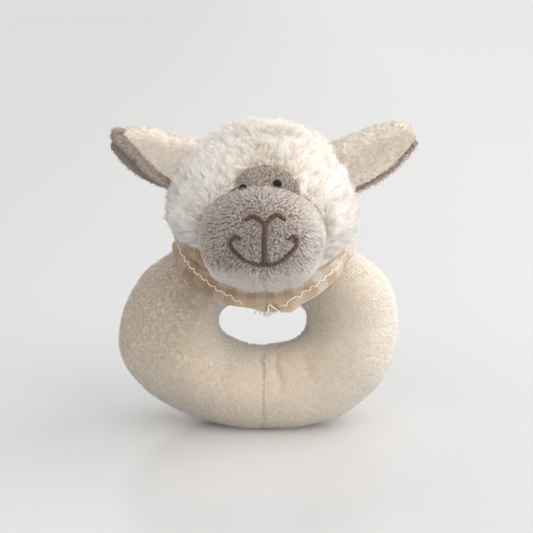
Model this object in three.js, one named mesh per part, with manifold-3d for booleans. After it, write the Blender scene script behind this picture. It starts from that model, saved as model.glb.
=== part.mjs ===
// Lamb baby rattle: a stuffed plush ring for a small hand, with a stuffed lamb's head sewn over its top.
// Millimetres, +Z up, +X to the viewer's right, the face looks towards -Y.
// The origin is on the floor, in the middle of the ring's flat foot and under the head's centre line.

import * as THREE from "three";
import { mergeVertices } from "three/addons/utils/BufferGeometryUtils.js";
import Module from "manifold-3d";

const wasm = await Module();
wasm.setup();

// Clearances
const touchGap = 0.3; // between pieces that touch on the real toy
const seamGap = 0.3; // between two covers that are sewn together
const fillGap = 0.6; // between the fibre fill and the covers of the head, which have coarser facets

// Ring, measured in its own plane before it leans back
const ringWidth = 128.5;
const ringCentreX = -2.1;
const ringTopHeight = 89.5;
const ringLeft = { widestHeight: 39, upperFullness: 2.15, lowerFullness: 1.78 }; // 2 is an ellipse
const ringRight = { widestHeight: 47, upperFullness: 2.4, lowerFullness: 2.25 }; // more is squarer
const ringFootSquash = 2; // how much the ring's own weight flattens its underside
const ringLeanDegrees = 8;
const ringDepthRatio = 0.96; // front to back, as a share of the tube's thickness
const ringSeamX = 0.75; // where its two covers are sewn together
const ringCoverWall = 1.8; // backing and pile
const ringStations = 44;
const ringSides = 16;

// The hole for the hand, in the same plane
const holeWidth = 42;
const holeCentreX = 0.1;
const holeBottomHeight = 37;
const holeTopHeight = 61;
const holeFullness = 2.2;

// Head
const headForward = 13; // from the ring's neck to the head's middle
const headRise = 28.3;
const headHalfWidth = 41;
const headHalfDepth = 36;
const headCrownRise = 38.5; // from the widest height up to the crown
const headNeckDrop = 34.5; // from the widest height down to the underside
const fleeceWall = 4; // backing and curled pile
const facePanelWall = 1.8;
const nodDegrees = 6; // each way, about the ring's neck

// Muzzle
const muzzleSink = 8; // how far its middle lies behind the front of the head
const muzzleBelow = 5; // and below the middle of the head
const muzzleHalfWidth = 27;
const muzzleHalfDepth = 25;
const muzzleRise = 20.5;
const muzzleDrop = 22.5;
const muzzleCoverWall = 2.7; // backing and pile, thicker than the forehead's for the stitched lines

// Forehead panel, seen from the front
const foreheadCentreX = 1.2;
const foreheadHalfWidth = 14.7;
const foreheadBelowCrown = 12;
const foreheadTuck = 10.5; // how far it runs down behind the top of the muzzle
const foreheadSink = 1.2; // its short pile lies lower than the fleece round it

// Eyes, padded satin stitch, half hidden by the top of the muzzle
const eyeRadius = 2.2;
const eyeRise = 1.3;
const leftEye = { x: -8.3, aboveMuzzle: 0.3 };
const rightEye = { x: 6.5, aboveMuzzle: 2.1 };

// Embroidered lines
const threadWidth = 1.8;
const threadRise = 0.5; // how far a line stands above the plush
const threadGroove = 0.3; // clearance of a line in its groove

// Ears, each a lined leaf that is folded along its top edge
const earLayer = 1.5;
const earLiningGap = 0.5; // between the outer leaf and its lining
const earFoldRadius = 4.2;
const earTiltDegrees = 28.5;
const earFlapDegrees = 20; // how far an ear bends up or down
const earRootDepth = 2; // how deep the root is sewn in under the fleece
const earRootBack = 2; // how far it lies behind the middle of the head
const earRootDegrees = 47.7; // degrees up the side of the head to the top of the root
const earNotchLength = 11; // of the slot in the head that the root bends in
const leftEar = {
  side: -1,
  length: 37.5,
  rootLift: 1.1,
  frontFlap: 20.5,
  frontTaper: 1.5,
  frontBlunt: 1,
  backFlap: 24.4,
  backTaper: 2.4,
  backBlunt: 0.6,
  foldDrop: 0.246,
};
const rightEar = {
  side: 1,
  length: 41,
  rootLift: -1.1,
  frontFlap: 22.5,
  frontTaper: 2.5,
  frontBlunt: 0.6,
  backFlap: 24.5,
  backTaper: 2.6,
  backBlunt: 0.6,
  foldDrop: 0.12,
};
const earTipDrop = 7; // how far the fold line falls away at the tip
const earTipShare = 0.985; // the leaf is cut blunt just short of its point

// Neckerchief, a triangle of gingham folded into a collar
const scarfThickness = 1.2;
const scarfHeadGap = 0.5;
const scarfFrontDegrees = 57.2; // degrees down from the head's widest height to the collar's top edge
const scarfSideDegrees = 24.8;
const scarfFrontFall = 10.8; // from the top edge down to the hem
const scarfSideFall = 2.7;
const scarfBackFall = 8.5;
const scarfFrontFlare = 5.5; // from the top edge out to the hem
const scarfSideFlare = 2.1;
const scarfBackFlare = 1.3;
const scarfSwell = 1.2;
const scarfFolds = 9;
const scarfFoldDepth = 0.7;
const scarfStations = 60;

// Rattle in the head
const capsuleRadius = 13;
const capsuleWall = 1.2;
const capsuleLip = 2;
const capsuleForward = 6; // from the middle of the head
const capsuleRise = 4;
const snapGap = 0.25;
const beadRadius = 2.6;
const beadCircleRadius = 4.6;
const beadCount = 3;
const beadGap = 0.3;
const pocketThroatRadius = 5; // the slit that the capsule was pushed in through
const pocketThroatBack = 10; // from the middle of the capsule

// Facets of the surfaces that nothing shows
const insideColumns = 24;
const insideRows = 14;
const muzzleInsideColumns = 20;
const muzzleInsideRows = 12;
const archSegments = 14;

// Colours and finishes
const finish = (colour, roughness) => new THREE.MeshStandardMaterial({ color: colour, roughness, metalness: 0 });
const creamPlush = finish("#e8dccb", 0.95);
const whiteFleece = finish("#f3efe6", 1);
const taupePlush = finish("#b4a79c", 0.95);
const creamEarPlush = finish("#e6dac8", 0.95);
const taupeEarPlush = finish("#a08d7f", 0.95);
const brownThread = finish("#5b4339", 0.7);
const blackThread = finish("#17130f", 0.35);
const gingham = finish("#cbb79d", 0.9);
const fibreFill = finish("#f4f2ee", 1);
const capsulePlastic = finish("#dfe6ea", 0.3);
const beadPlastic = finish("#c9483c", 0.3);

// Small maths helpers
const radians = THREE.MathUtils.degToRad;
const mix = THREE.MathUtils.lerp;
const signedPower = (value, power) => Math.sign(value) * Math.abs(value) ** power;

// A closed geometry as a solid. A lofted or mirrored surface that faces in is turned round.
function solid(geometry) {
  const bare = geometry.clone();
  for (const name of Object.keys(bare.attributes)) {
    if (name !== "position") bare.deleteAttribute(name);
  }
  const merged = mergeVertices(bare, 1e-4);
  const build = (turned) => {
    const triVerts = new Uint32Array(merged.index.array);
    for (let i = 0; turned && i < triVerts.length; i += 3) {
      [triVerts[i + 1], triVerts[i + 2]] = [triVerts[i + 2], triVerts[i + 1]];
    }
    const vertProperties = new Float32Array(merged.attributes.position.array);
    return new wasm.Manifold(new wasm.Mesh({ numProp: 3, vertProperties, triVerts }));
  };
  const made = build(false);
  return made.volume() < 0 ? build(true) : made;
}

// A solid as a named mesh.
function piece(name, body, material) {
  const { vertProperties, triVerts } = body.getMesh();
  const geometry = new THREE.BufferGeometry();
  geometry.setAttribute("position", new THREE.BufferAttribute(new Float32Array(vertProperties), 3));
  geometry.setIndex(new THREE.BufferAttribute(new Uint32Array(triVerts), 1));
  geometry.computeVertexNormals();
  const mesh = new THREE.Mesh(geometry, material);
  mesh.name = name;
  return mesh;
}

// Joins rings of points into one closed surface: the last ring meets the first, or both ends are capped.
// A cap is a strip from the ring's first and last points to its middle, so a ring is a thin sheet's
// section, up one face and down the other, or a round one.
function loft(rings, closed) {
  const sides = rings[0].length;
  const points = rings.flat();
  const faces = [];
  const spans = closed ? rings.length : rings.length - 1;
  for (let i = 0; i < spans; i += 1) {
    const here = i * sides;
    const next = ((i + 1) % rings.length) * sides;
    for (let j = 0; j < sides; j += 1) {
      const k = (j + 1) % sides;
      faces.push(here + j, here + k, next + k);
      faces.push(here + j, next + k, next + j);
    }
  }
  if (!closed) {
    const last = (rings.length - 1) * sides;
    for (let j = 0; j < sides / 2 - 1; j += 1) {
      const far = sides - 1 - j;
      faces.push(j, far, far - 1);
      faces.push(j, far - 1, j + 1);
      faces.push(last + j, last + far - 1, last + far);
      faces.push(last + j, last + j + 1, last + far - 1);
    }
  }
  const geometry = new THREE.BufferGeometry().setFromPoints(points);
  geometry.setIndex(faces);
  return solid(geometry);
}

// Blocks that hold everything above or beside a plane, as far as the toy reaches.
const reach = 400;
function block(lowX, highX, lowY, highY, lowZ, highZ) {
  const box = new THREE.BoxGeometry(highX - lowX, highY - lowY, highZ - lowZ);
  box.translate((lowX + highX) / 2, (lowY + highY) / 2, (lowZ + highZ) / 2);
  return solid(box);
}
const above = (height) => block(-reach, reach, -reach, reach, height, reach);
const leftOf = (x) => block(-reach, x, -reach, reach, -reach, reach);
const rightOf = (x) => block(x, reach, -reach, reach, -reach, reach);

// Ring

const ringLean = radians(ringLeanDegrees);
const ringFootLine = (holeBottomHeight - ringFootSquash) / 2;
const ringNeckLine = (ringTopHeight + holeTopHeight) / 2;

// A point of a rounded outline in the ring's own plane, as (x, height).
function outline(angle, centreX, halfWidth, top, bottom, side) {
  const up = Math.sin(angle);
  const half = up > 0 ? top - side.widestHeight : side.widestHeight - bottom;
  const power = 2 / (up > 0 ? side.upperFullness : side.lowerFullness);
  const x = centreX + halfWidth * signedPower(Math.cos(angle), power);
  return new THREE.Vector2(x, side.widestHeight + half * signedPower(up, power));
}

function ringOutside(angle) {
  const side = Math.cos(angle) < 0 ? ringLeft : ringRight;
  return outline(angle, ringCentreX, ringWidth / 2, ringTopHeight, -ringFootSquash, side);
}

function ringHole(angle) {
  const side = {
    widestHeight: (holeTopHeight + holeBottomHeight) / 2,
    upperFullness: holeFullness,
    lowerFullness: holeFullness,
  };
  return outline(angle, holeCentreX, holeWidth / 2, holeTopHeight, holeBottomHeight, side);
}

// Leans a point of the ring's own plane back about the line through the middle of its foot.
function lean(x, y, height) {
  const rise = height - ringFootLine;
  return new THREE.Vector3(
    x,
    y * Math.cos(ringLean) + rise * Math.sin(ringLean),
    ringFootLine + rise * Math.cos(ringLean) - y * Math.sin(ringLean),
  );
}

// The whole round ring, drawn in by inset all over, before its foot is cut flat.
function ringTube(inset) {
  const rings = [];
  for (let i = 0; i < ringStations; i += 1) {
    const angle = ((i + 0.5) / ringStations) * 2 * Math.PI;
    const outside = ringOutside(angle);
    const hole = ringHole(angle);
    const middle = outside.clone().add(hole).multiplyScalar(0.5);
    const outward = outside.clone().sub(hole);
    const half = outward.length() / 2;
    outward.normalize();
    const ring = [];
    for (let j = 0; j < ringSides; j += 1) {
      const turn = (j / ringSides) * 2 * Math.PI;
      const out = (half - inset) * Math.cos(turn);
      const deep = (half * ringDepthRatio - inset) * Math.sin(turn);
      ring.push(lean(middle.x + out * outward.x, deep, middle.y + out * outward.y));
    }
    rings.push(ring);
  }
  return loft(rings, true);
}

const ringBody = (inset) => ringTube(inset).intersect(above(Math.max(0, inset)));
const ringShell = ringBody(0).subtract(ringBody(ringCoverWall));
const ringCoverLeft = ringShell.intersect(leftOf(ringSeamX - seamGap / 2));
const ringCoverRight = ringShell.intersect(rightOf(ringSeamX + seamGap / 2));
const ringStuffing = ringBody(ringCoverWall + touchGap);

// The neck, where the head nods: the middle of the ring's tube at its top.
const neck = lean(0, 0, ringNeckLine);

// The saddle that the ring leaves in the head. Its room lets the tube's shoulders pass as the head nods.
const shoulderAngle = radians(50);
const shoulderHeight = (ringOutside(shoulderAngle).y + ringHole(shoulderAngle).y) / 2;
const nodRoom = touchGap + (ringNeckLine - shoulderHeight) * Math.sin(radians(nodDegrees));
const saddleBottom = holeTopHeight - ringFootSquash;
const ringInHead = ringTube(-nodRoom).intersect(above(saddleBottom));

// Head and muzzle

const headCentreY = neck.y - headForward;
const headCentreHeight = neck.z + headRise;
const muzzleCentreY = headCentreY - headHalfDepth + muzzleSink;
const muzzleCentreHeight = headCentreHeight - muzzleBelow;
const muzzleTopHeight = muzzleCentreHeight + muzzleRise;
const foreheadTopHeight = headCentreHeight + headCrownRise - foreheadBelowCrown;
const foreheadBaseHeight = muzzleTopHeight - foreheadTuck;

// An egg-shaped form with its poles on Z, whose upper and lower halves have their own heights.
function egg(centreY, centreHeight, halfWidth, halfDepth, rise, drop, columns, rows) {
  const geometry = new THREE.SphereGeometry(1, columns, rows);
  geometry.rotateX(Math.PI / 2);
  const at = geometry.attributes.position;
  for (let i = 0; i < at.count; i += 1) {
    const height = at.getZ(i) * (at.getZ(i) > 0 ? rise : drop);
    at.setXYZ(i, at.getX(i) * halfWidth, centreY + at.getY(i) * halfDepth, centreHeight + height);
  }
  return solid(geometry);
}

function headForm(inset, columns = 32, rows = 16) {
  return egg(
    headCentreY,
    headCentreHeight,
    headHalfWidth - inset,
    headHalfDepth - inset,
    headCrownRise - inset,
    headNeckDrop - inset,
    columns,
    rows,
  );
}

function muzzleForm(inset, columns = 28, rows = 16) {
  return egg(
    muzzleCentreY,
    muzzleCentreHeight,
    muzzleHalfWidth - inset,
    muzzleHalfDepth - inset,
    muzzleRise - inset,
    muzzleDrop - inset,
    columns,
    rows,
  );
}

// The forehead panel's outline, an arch, as a block that runs back from in front of the face.
function foreheadArch(margin) {
  const half = foreheadHalfWidth + margin;
  const spring = foreheadTopHeight + margin - half;
  const outline = new THREE.Shape();
  outline.moveTo(-half, foreheadBaseHeight - margin);
  outline.lineTo(half, foreheadBaseHeight - margin);
  outline.lineTo(half, spring);
  outline.absarc(0, spring, half, 0, Math.PI, false);
  outline.closePath();
  const geometry = new THREE.ExtrudeGeometry(outline, {
    depth: reach,
    bevelEnabled: false,
    curveSegments: archSegments,
  });
  geometry.rotateX(Math.PI / 2);
  geometry.translate(foreheadCentreX, headCentreY - headHalfDepth / 3, 0);
  return solid(geometry);
}

// Ears

// The folded sheet: a point at an arc length from the fold, lifted off the sheet by offset.
// Positive lengths run down the front flap. The result is [forward, down] in the ear's own section.
function foldPoint(arc, offset) {
  const crown = (earFoldRadius * Math.PI) / 2;
  const side = Math.sign(arc) || 1;
  const run = Math.abs(arc);
  if (run < crown) {
    const turn = run / earFoldRadius;
    const radius = earFoldRadius + offset;
    return [side * radius * Math.sin(turn), earFoldRadius - radius * Math.cos(turn)];
  }
  return [side * (earFoldRadius + offset), earFoldRadius + run - crown];
}

// The top of the root, on the side of the head.
function earRootTop(ear) {
  const turn = radians(earRootDegrees);
  return new THREE.Vector3(
    ear.side * headHalfWidth * Math.cos(turn),
    headCentreY + earRootBack,
    headCentreHeight + headCrownRise * Math.sin(turn) + ear.rootLift,
  );
}

// The ear's own axes at rest: along it, down across it, and forward.
function earAxes(ear) {
  const tilt = radians(earTiltDegrees);
  return {
    along: new THREE.Vector3(ear.side * Math.cos(tilt), 0, Math.sin(tilt)),
    down: new THREE.Vector3(ear.side * Math.sin(tilt), 0, -Math.cos(tilt)),
    forward: new THREE.Vector3(0, -1, 0),
    root: earRootTop(ear),
  };
}

function earPoint(ear, along, forward, down) {
  const axes = earAxes(ear);
  return axes.root
    .clone()
    .addScaledVector(axes.along, along)
    .addScaledVector(axes.forward, forward)
    .addScaledVector(axes.down, down);
}

// The middle of the ear's root, where it bends.
const earPivot = (ear) => earPoint(ear, -earRootDepth, 0, ear.backFlap / 2);

// One layer of an ear, between two offsets from the folded sheet.
function earLayerSolid(ear, low, high) {
  const stations = 11;
  const steps = 10;
  const extra = earFoldRadius * (Math.PI / 2 - 1);
  const span = ear.length + earRootDepth;
  const rings = [];
  for (let i = 0; i < stations; i += 1) {
    const along = Math.sin((i / (stations - 1)) * (Math.PI / 2)) * earTipShare * span - earRootDepth;
    const reachShare = Math.max(0, along) / ear.length;
    const front = ear.frontFlap * (1 - reachShare ** ear.frontTaper) ** ear.frontBlunt;
    const back = ear.backFlap * (1 - reachShare ** ear.backTaper) ** ear.backBlunt;
    const fold = ear.foldDrop * Math.max(0, along) + earTipDrop * reachShare ** 6;
    const frontArc = front * (1 + extra / ear.frontFlap);
    const backArc = back * (1 + extra / ear.backFlap);
    const upper = [];
    const lower = [];
    for (let j = 0; j <= steps; j += 1) {
      const share = 1 - (2 * j) / steps;
      const arc = share * (share > 0 ? frontArc : backArc);
      const [forwardHigh, downHigh] = foldPoint(arc, high);
      const [forwardLow, downLow] = foldPoint(arc, low);
      upper.push(earPoint(ear, along, forwardHigh, downHigh + fold));
      lower.unshift(earPoint(ear, along, forwardLow, downLow + fold));
    }
    rings.push([...upper, ...lower]);
  }
  return loft(rings, false);
}

// What the root of a bending ear sweeps in the head.
function earRootSweep(ear) {
  const margin = 3 * touchGap;
  const half = earFoldRadius + earLayer + margin;
  const height = ear.backFlap + earLayer + 2 * margin;
  const root = new THREE.BoxGeometry(earNotchLength, 2 * half, height);
  const tilt = ear.side * radians(earTiltDegrees);
  root.translate(ear.side * (earNotchLength / 2 - margin), 0, 0);
  root.rotateY(-tilt);
  const middle = earPivot(ear);
  const atRest = solid(root);
  let swept = atRest;
  for (const turn of [-earFlapDegrees, earFlapDegrees]) {
    swept = swept.add(atRest.rotate([0, turn, 0]));
  }
  return swept.translate([middle.x, middle.y, middle.z]);
}
const earSweeps = earRootSweep(leftEar).add(earRootSweep(rightEar));

// Head pieces

const muzzleClear = muzzleForm(-touchGap);
const fleeceShell = headForm(0)
  .subtract(headForm(fleeceWall))
  .subtract(ringInHead)
  .subtract(earSweeps)
  .subtract(muzzleClear)
  .subtract(foreheadArch(touchGap));
const headFleeceLeft = fleeceShell.intersect(leftOf(-seamGap / 2));
const headFleeceRight = fleeceShell.intersect(rightOf(seamGap / 2));

const foreheadPanel = headForm(foreheadSink)
  .subtract(headForm(foreheadSink + facePanelWall))
  .intersect(foreheadArch(0))
  .subtract(muzzleClear);

// Stitched lines on the muzzle. Each point is [x, height above the muzzle's middle], seen from the front.
function muzzleFrontY(x, z) {
  const tall = z > muzzleCentreHeight ? muzzleRise : muzzleDrop;
  const share = (x / muzzleHalfWidth) ** 2 + ((z - muzzleCentreHeight) / tall) ** 2;
  return muzzleCentreY - muzzleHalfDepth * Math.sqrt(1 - share);
}

function stitchedLine(points, room = 0) {
  const width = threadWidth + 2 * room;
  const through = points.map(([x, up]) => new THREE.Vector3(x, 0, muzzleCentreHeight + up));
  const curve = new THREE.CatmullRomCurve3(through, false, "centripetal");
  const stations = 2 * points.length;
  const sides = 6;
  const rings = [];
  for (let i = 0; i <= stations; i += 1) {
    const at = curve.getPointAt(i / stations);
    const along = curve.getTangentAt(i / stations);
    const across = new THREE.Vector3(along.z, 0, -along.x);
    if (i === 0) at.addScaledVector(along, -room);
    if (i === stations) at.addScaledVector(along, room);
    const ring = [];
    for (let j = 0; j < sides; j += 1) {
      const turn = (j / sides) * 2 * Math.PI;
      const side = (width / 2) * Math.cos(turn);
      const lift = (width / 2) * Math.sin(turn);
      const x = at.x + side * across.x;
      const z = at.z + side * across.z;
      ring.push(new THREE.Vector3(x, muzzleFrontY(x, z) - (threadRise - threadWidth / 2) - lift, z));
    }
    rings.push(ring);
  }
  return loft(rings, false);
}

const noseLine = [
  [-6.9, 11.2],
  [-4.2, 12.9],
  [-1.2, 12],
  [1.2, 10],
  [3.6, 12.3],
  [6.5, 13.1],
  [9.3, 11.2],
];
const stemLine = [
  [1.2, 9.8],
  [0.9, 2],
  [0.7, -5.2],
];
const smileLine = [
  [-9, 4.2],
  [-10.8, 5],
  [-13, 1.8],
  [-11, -1.4],
  [-7.6, -4.2],
  [-3.3, -6],
  [1, -6.6],
  [5.9, -5.8],
  [10.2, -3.1],
  [13.4, 0.2],
  [14, 3],
  [12.4, 4.7],
  [10.8, 3.6],
];
const noseEmbroidery = stitchedLine(noseLine).add(stitchedLine(stemLine));
const smileEmbroidery = stitchedLine(smileLine);
const grooves = stitchedLine(noseLine, threadGroove)
  .add(stitchedLine(stemLine, threadGroove))
  .add(stitchedLine(smileLine, threadGroove));

const muzzleCover = muzzleForm(0)
  .subtract(muzzleForm(muzzleCoverWall, muzzleInsideColumns, muzzleInsideRows))
  .subtract(headForm(fleeceWall, insideColumns, insideRows))
  .subtract(grooves);

// Eyes, seated on the forehead panel and cut where the muzzle swells in front of them
const seatClear = headForm(foreheadSink - touchGap);

function eye({ x, aboveMuzzle }) {
  const z = muzzleTopHeight + aboveMuzzle;
  const dome = new THREE.SphereGeometry(eyeRadius, 16, 10);
  const share = (x / (headHalfWidth - foreheadSink)) ** 2
    + ((z - headCentreHeight) / (headCrownRise - foreheadSink)) ** 2;
  const y = headCentreY - (headHalfDepth - foreheadSink) * Math.sqrt(1 - share);
  const facing = new THREE.Vector3(
    x / headHalfWidth ** 2,
    (y - headCentreY) / headHalfDepth ** 2,
    (z - headCentreHeight) / headCrownRise ** 2,
  ).normalize();
  dome.scale(1, 1, eyeRise / eyeRadius);
  dome.lookAt(facing);
  dome.translate(x, y, z);
  return solid(dome).subtract(seatClear).subtract(muzzleClear);
}
const leftEyeSolid = eye(leftEye);
const rightEyeSolid = eye(rightEye);

// Neckerchief

// A point of the collar: turn runs round the neck from the front, share from its top edge to its hem.
// The top edge lies on the head, and the hem falls and flares from it over the ring.
function scarfPoint(turn, share, offset) {
  const toSide = Math.min(1, 1 - Math.cos(turn));
  const toBack = Math.max(0, -Math.cos(turn)) ** 2;
  const down = radians(mix(scarfFrontDegrees, scarfSideDegrees, toSide));
  const fall = mix(mix(scarfFrontFall, scarfSideFall, toSide), scarfBackFall, toBack);
  const flare = mix(mix(scarfFrontFlare, scarfSideFlare, toSide), scarfBackFlare, toBack);
  const fold = scarfFoldDepth * share * Math.sin(scarfFolds * turn);
  const swell = scarfSwell * Math.sin(share * Math.PI);
  const out = scarfHeadGap + offset + flare * share + fold + swell;
  return new THREE.Vector3(
    (headHalfWidth * Math.cos(down) + out) * Math.sin(turn),
    headCentreY - (headHalfDepth * Math.cos(down) + out) * Math.cos(turn),
    headCentreHeight - headNeckDrop * Math.sin(down) - fall * share,
  );
}

function scarfSolid() {
  const steps = 4;
  const rings = [];
  for (let i = 0; i < scarfStations; i += 1) {
    const turn = (i / scarfStations) * 2 * Math.PI;
    const outer = [];
    const inner = [];
    for (let j = 0; j <= steps; j += 1) {
      outer.push(scarfPoint(turn, j / steps, scarfThickness));
      inner.unshift(scarfPoint(turn, j / steps, 0));
    }
    rings.push([...outer, ...inner]);
  }
  return loft(rings, true);
}
const neckerchief = scarfSolid().subtract(ringTube(-touchGap));

// Rattle capsule: two turned halves that snap together, with loose beads inside

// Turned round Z from a closed profile of [radius, height] points.
function turned(profile, columns) {
  const points = profile.map(([radius, height]) => new THREE.Vector2(Math.max(radius, 0), height));
  const geometry = new THREE.LatheGeometry([...points, points[0]], columns);
  geometry.rotateX(Math.PI / 2);
  return solid(geometry);
}

// A quarter circle from the pole to the equator, or back.
function quarter(radius, fromAngle, toAngle, steps) {
  const points = [];
  for (let i = 0; i <= steps; i += 1) {
    const angle = radians(mix(fromAngle, toAngle, i / steps));
    points.push([radius * Math.cos(angle), radius * Math.sin(angle)]);
  }
  return points;
}

const capsuleInner = capsuleRadius - capsuleWall;
const lipOuter = capsuleRadius - (capsuleWall - snapGap) / 2 - snapGap;
const skirtInner = lipOuter + snapGap;
const capsuleColumns = 20;
const capsuleSteps = 6;

function capsuleCup() {
  const outside = quarter(capsuleRadius, -90, 0, capsuleSteps).map(([r, z]) => [r, z - snapGap / 2]);
  const inside = quarter(capsuleInner, 0, -90, capsuleSteps).map(([r, z]) => [r, z - snapGap / 2]);
  const lip = [
    [lipOuter, -snapGap / 2],
    [lipOuter, capsuleLip - snapGap],
    [capsuleInner, capsuleLip - snapGap],
  ];
  return turned([...outside, ...lip, ...inside], capsuleColumns);
}

function capsuleLid() {
  const outside = quarter(capsuleRadius, 0, 90, capsuleSteps).map(([r, z]) => [r, z + snapGap / 2]);
  const startAngle = THREE.MathUtils.radToDeg(Math.asin((capsuleLip + snapGap) / capsuleInner));
  const inside = quarter(capsuleInner, 90, startAngle, capsuleSteps);
  const skirt = [
    [skirtInner, capsuleLip + snapGap],
    [skirtInner, snapGap / 2],
  ];
  return turned([...outside, ...inside, ...skirt], capsuleColumns);
}

const capsuleCentreY = headCentreY - capsuleForward;
const capsuleCentreHeight = headCentreHeight + capsuleRise;
const capsuleAt = [0, capsuleCentreY, capsuleCentreHeight];
const capsuleCupSolid = capsuleCup().translate(capsuleAt);
const capsuleLidSolid = capsuleLid().translate(capsuleAt);

// A bead rests in the bottom of the cup, on its own place round the middle.
function bead(index) {
  const turn = (index / beadCount) * 2 * Math.PI + Math.PI / 2;
  const hollow = capsuleInner - beadRadius - beadGap;
  const low = Math.sqrt(hollow ** 2 - beadCircleRadius ** 2);
  const geometry = new THREE.SphereGeometry(beadRadius, 12, 8);
  geometry.translate(
    beadCircleRadius * Math.cos(turn),
    capsuleCentreY + beadCircleRadius * Math.sin(turn),
    capsuleCentreHeight - low,
  );
  return solid(geometry);
}

// The head's fibre fill, with the pocket for the capsule and the slit that it went in through
function headStuffingSolid() {
  const pocket = new THREE.SphereGeometry(capsuleRadius + 2 * touchGap, 20, 12);
  pocket.rotateX(Math.PI / 2);
  pocket.translate(...capsuleAt);
  const throatLow = neck.z;
  const throatHeight = capsuleCentreHeight - throatLow;
  const throat = new THREE.CylinderGeometry(pocketThroatRadius, pocketThroatRadius, throatHeight, 12);
  throat.rotateX(Math.PI / 2);
  throat.translate(0, capsuleCentreY + pocketThroatBack, throatLow + throatHeight / 2);
  const inFleece = headForm(fleeceWall + fillGap, insideColumns, insideRows);
  const inMuzzle = muzzleForm(muzzleCoverWall + touchGap, muzzleInsideColumns, muzzleInsideRows);
  return inFleece
    .add(inMuzzle)
    .subtract(ringInHead)
    .subtract(earSweeps)
    .subtract(solid(pocket))
    .subtract(solid(throat));
}

// The toy

const ring = new THREE.Group();
ring.add(
  piece("ring_cover_left", ringCoverLeft, creamPlush),
  piece("ring_cover_right", ringCoverRight, creamPlush),
  piece("ring_stuffing", ringStuffing, fibreFill),
);

const rattle = new THREE.Group();
rattle.add(
  piece("capsule_cup", capsuleCupSolid, capsulePlastic),
  piece("capsule_lid", capsuleLidSolid, capsulePlastic),
);
for (let i = 0; i < beadCount; i += 1) {
  rattle.add(piece(`bead_${i + 1}`, bead(i), beadPlastic));
}

const head = new THREE.Group();
head.add(
  piece("head_fleece_left", headFleeceLeft, whiteFleece),
  piece("head_fleece_right", headFleeceRight, whiteFleece),
  piece("forehead_panel", foreheadPanel, taupePlush),
  piece("muzzle_cover", muzzleCover, taupePlush),
  piece("head_stuffing", headStuffingSolid(), fibreFill),
  piece("eye_left", leftEyeSolid, blackThread),
  piece("eye_right", rightEyeSolid, blackThread),
  piece("nose_embroidery", noseEmbroidery, brownThread),
  piece("smile_embroidery", smileEmbroidery, brownThread),
  piece("neckerchief", neckerchief, gingham),
  rattle,
);
for (const [side, ear] of [["left", leftEar], ["right", rightEar]]) {
  head.add(
    piece(`ear_${side}_outer`, earLayerSolid(ear, 0, earLayer), creamEarPlush),
    piece(`ear_${side}_lining`, earLayerSolid(ear, -earLiningGap - earLayer, -earLiningGap), taupeEarPlush),
  );
}

const lambRattle = new THREE.Group();
lambRattle.add(ring, head);

export default lambRattle;
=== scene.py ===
import math

import bpy
import numpy as np
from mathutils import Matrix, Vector
from mathutils.kdtree import KDTree


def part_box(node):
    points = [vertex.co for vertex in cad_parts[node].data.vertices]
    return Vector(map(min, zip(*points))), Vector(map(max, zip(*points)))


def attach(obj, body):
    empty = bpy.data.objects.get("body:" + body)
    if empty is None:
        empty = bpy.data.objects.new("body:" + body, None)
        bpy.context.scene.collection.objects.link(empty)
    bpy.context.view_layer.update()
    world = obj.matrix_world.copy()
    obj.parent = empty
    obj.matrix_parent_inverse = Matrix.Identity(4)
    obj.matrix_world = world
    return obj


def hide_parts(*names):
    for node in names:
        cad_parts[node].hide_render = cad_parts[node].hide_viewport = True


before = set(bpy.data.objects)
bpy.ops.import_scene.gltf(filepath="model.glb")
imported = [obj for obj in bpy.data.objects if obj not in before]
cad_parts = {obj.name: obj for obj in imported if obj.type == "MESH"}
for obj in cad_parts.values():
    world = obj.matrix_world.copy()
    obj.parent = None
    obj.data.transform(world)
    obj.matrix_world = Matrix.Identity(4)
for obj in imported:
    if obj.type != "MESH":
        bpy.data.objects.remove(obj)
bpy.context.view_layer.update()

# Lamb baby rattle: the looks. Lengths are in millimetres, on the frame's own axes.
MM = 0.001
SEED = 11
ROUND = 2 * math.pi
UP = np.array([0, 0, 1.0])
FAR = 99.0  # stands for anywhere that a distance doesn't matter


# Small maths


def unit(v):
    return v / np.maximum(np.linalg.norm(v, axis=-1, keepdims=True), 1e-9)


def xyz(x, y, z):
    return np.stack(np.broadcast_arrays(x, y, z), axis=-1)


def span(node):
    """The lowest and highest corners of a frame node, in millimetres."""
    return [np.array(corner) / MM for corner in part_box(node)]


def side_name(side):
    return "left" if side < 0 else "right"


def signed_power(value, power):
    return np.sign(value) * np.abs(value) ** power


def mix(a, b, share):
    return a + (b - a) * share


def ease(value, low, high):
    """0 below low, 1 above high, smooth between."""
    t = np.clip((value - low) / (high - low), 0, 1)
    return t * t * (3 - 2 * t)


def bell(value, middle, width):
    """1 at the middle, falling smoothly to 0 on both sides."""
    return np.exp(-(((value - middle) / width) ** 2))


def swirl(points, size, seed, octaves=2):
    """A smooth random vector field of waves, about size millimetres from crest to crest."""
    rng = np.random.default_rng(seed)
    total = np.zeros_like(points)
    for octave in range(octaves):
        for _ in range(6):
            wave = unit(rng.normal(size=3)) * ROUND / (size / 1.9**octave) * rng.uniform(0.7, 1.3)
            push = unit(rng.normal(size=3))
            phase = rng.uniform(0, ROUND)
            total += np.sin(points @ wave + phase)[:, None] * push / 1.6**octave
    return total / 2.4


def along_surface(field, normals):
    """The part of a direction field that lies along the surface, at unit length."""
    return unit(field - normals * np.sum(field * normals, axis=-1, keepdims=True))


def run_along(points):
    """How far along its path each point is, for paths that go down the first axis."""
    steps = np.linalg.norm(np.diff(points, axis=0), axis=-1)
    return np.concatenate([0 * steps[:1], np.cumsum(steps, axis=0)])


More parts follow.
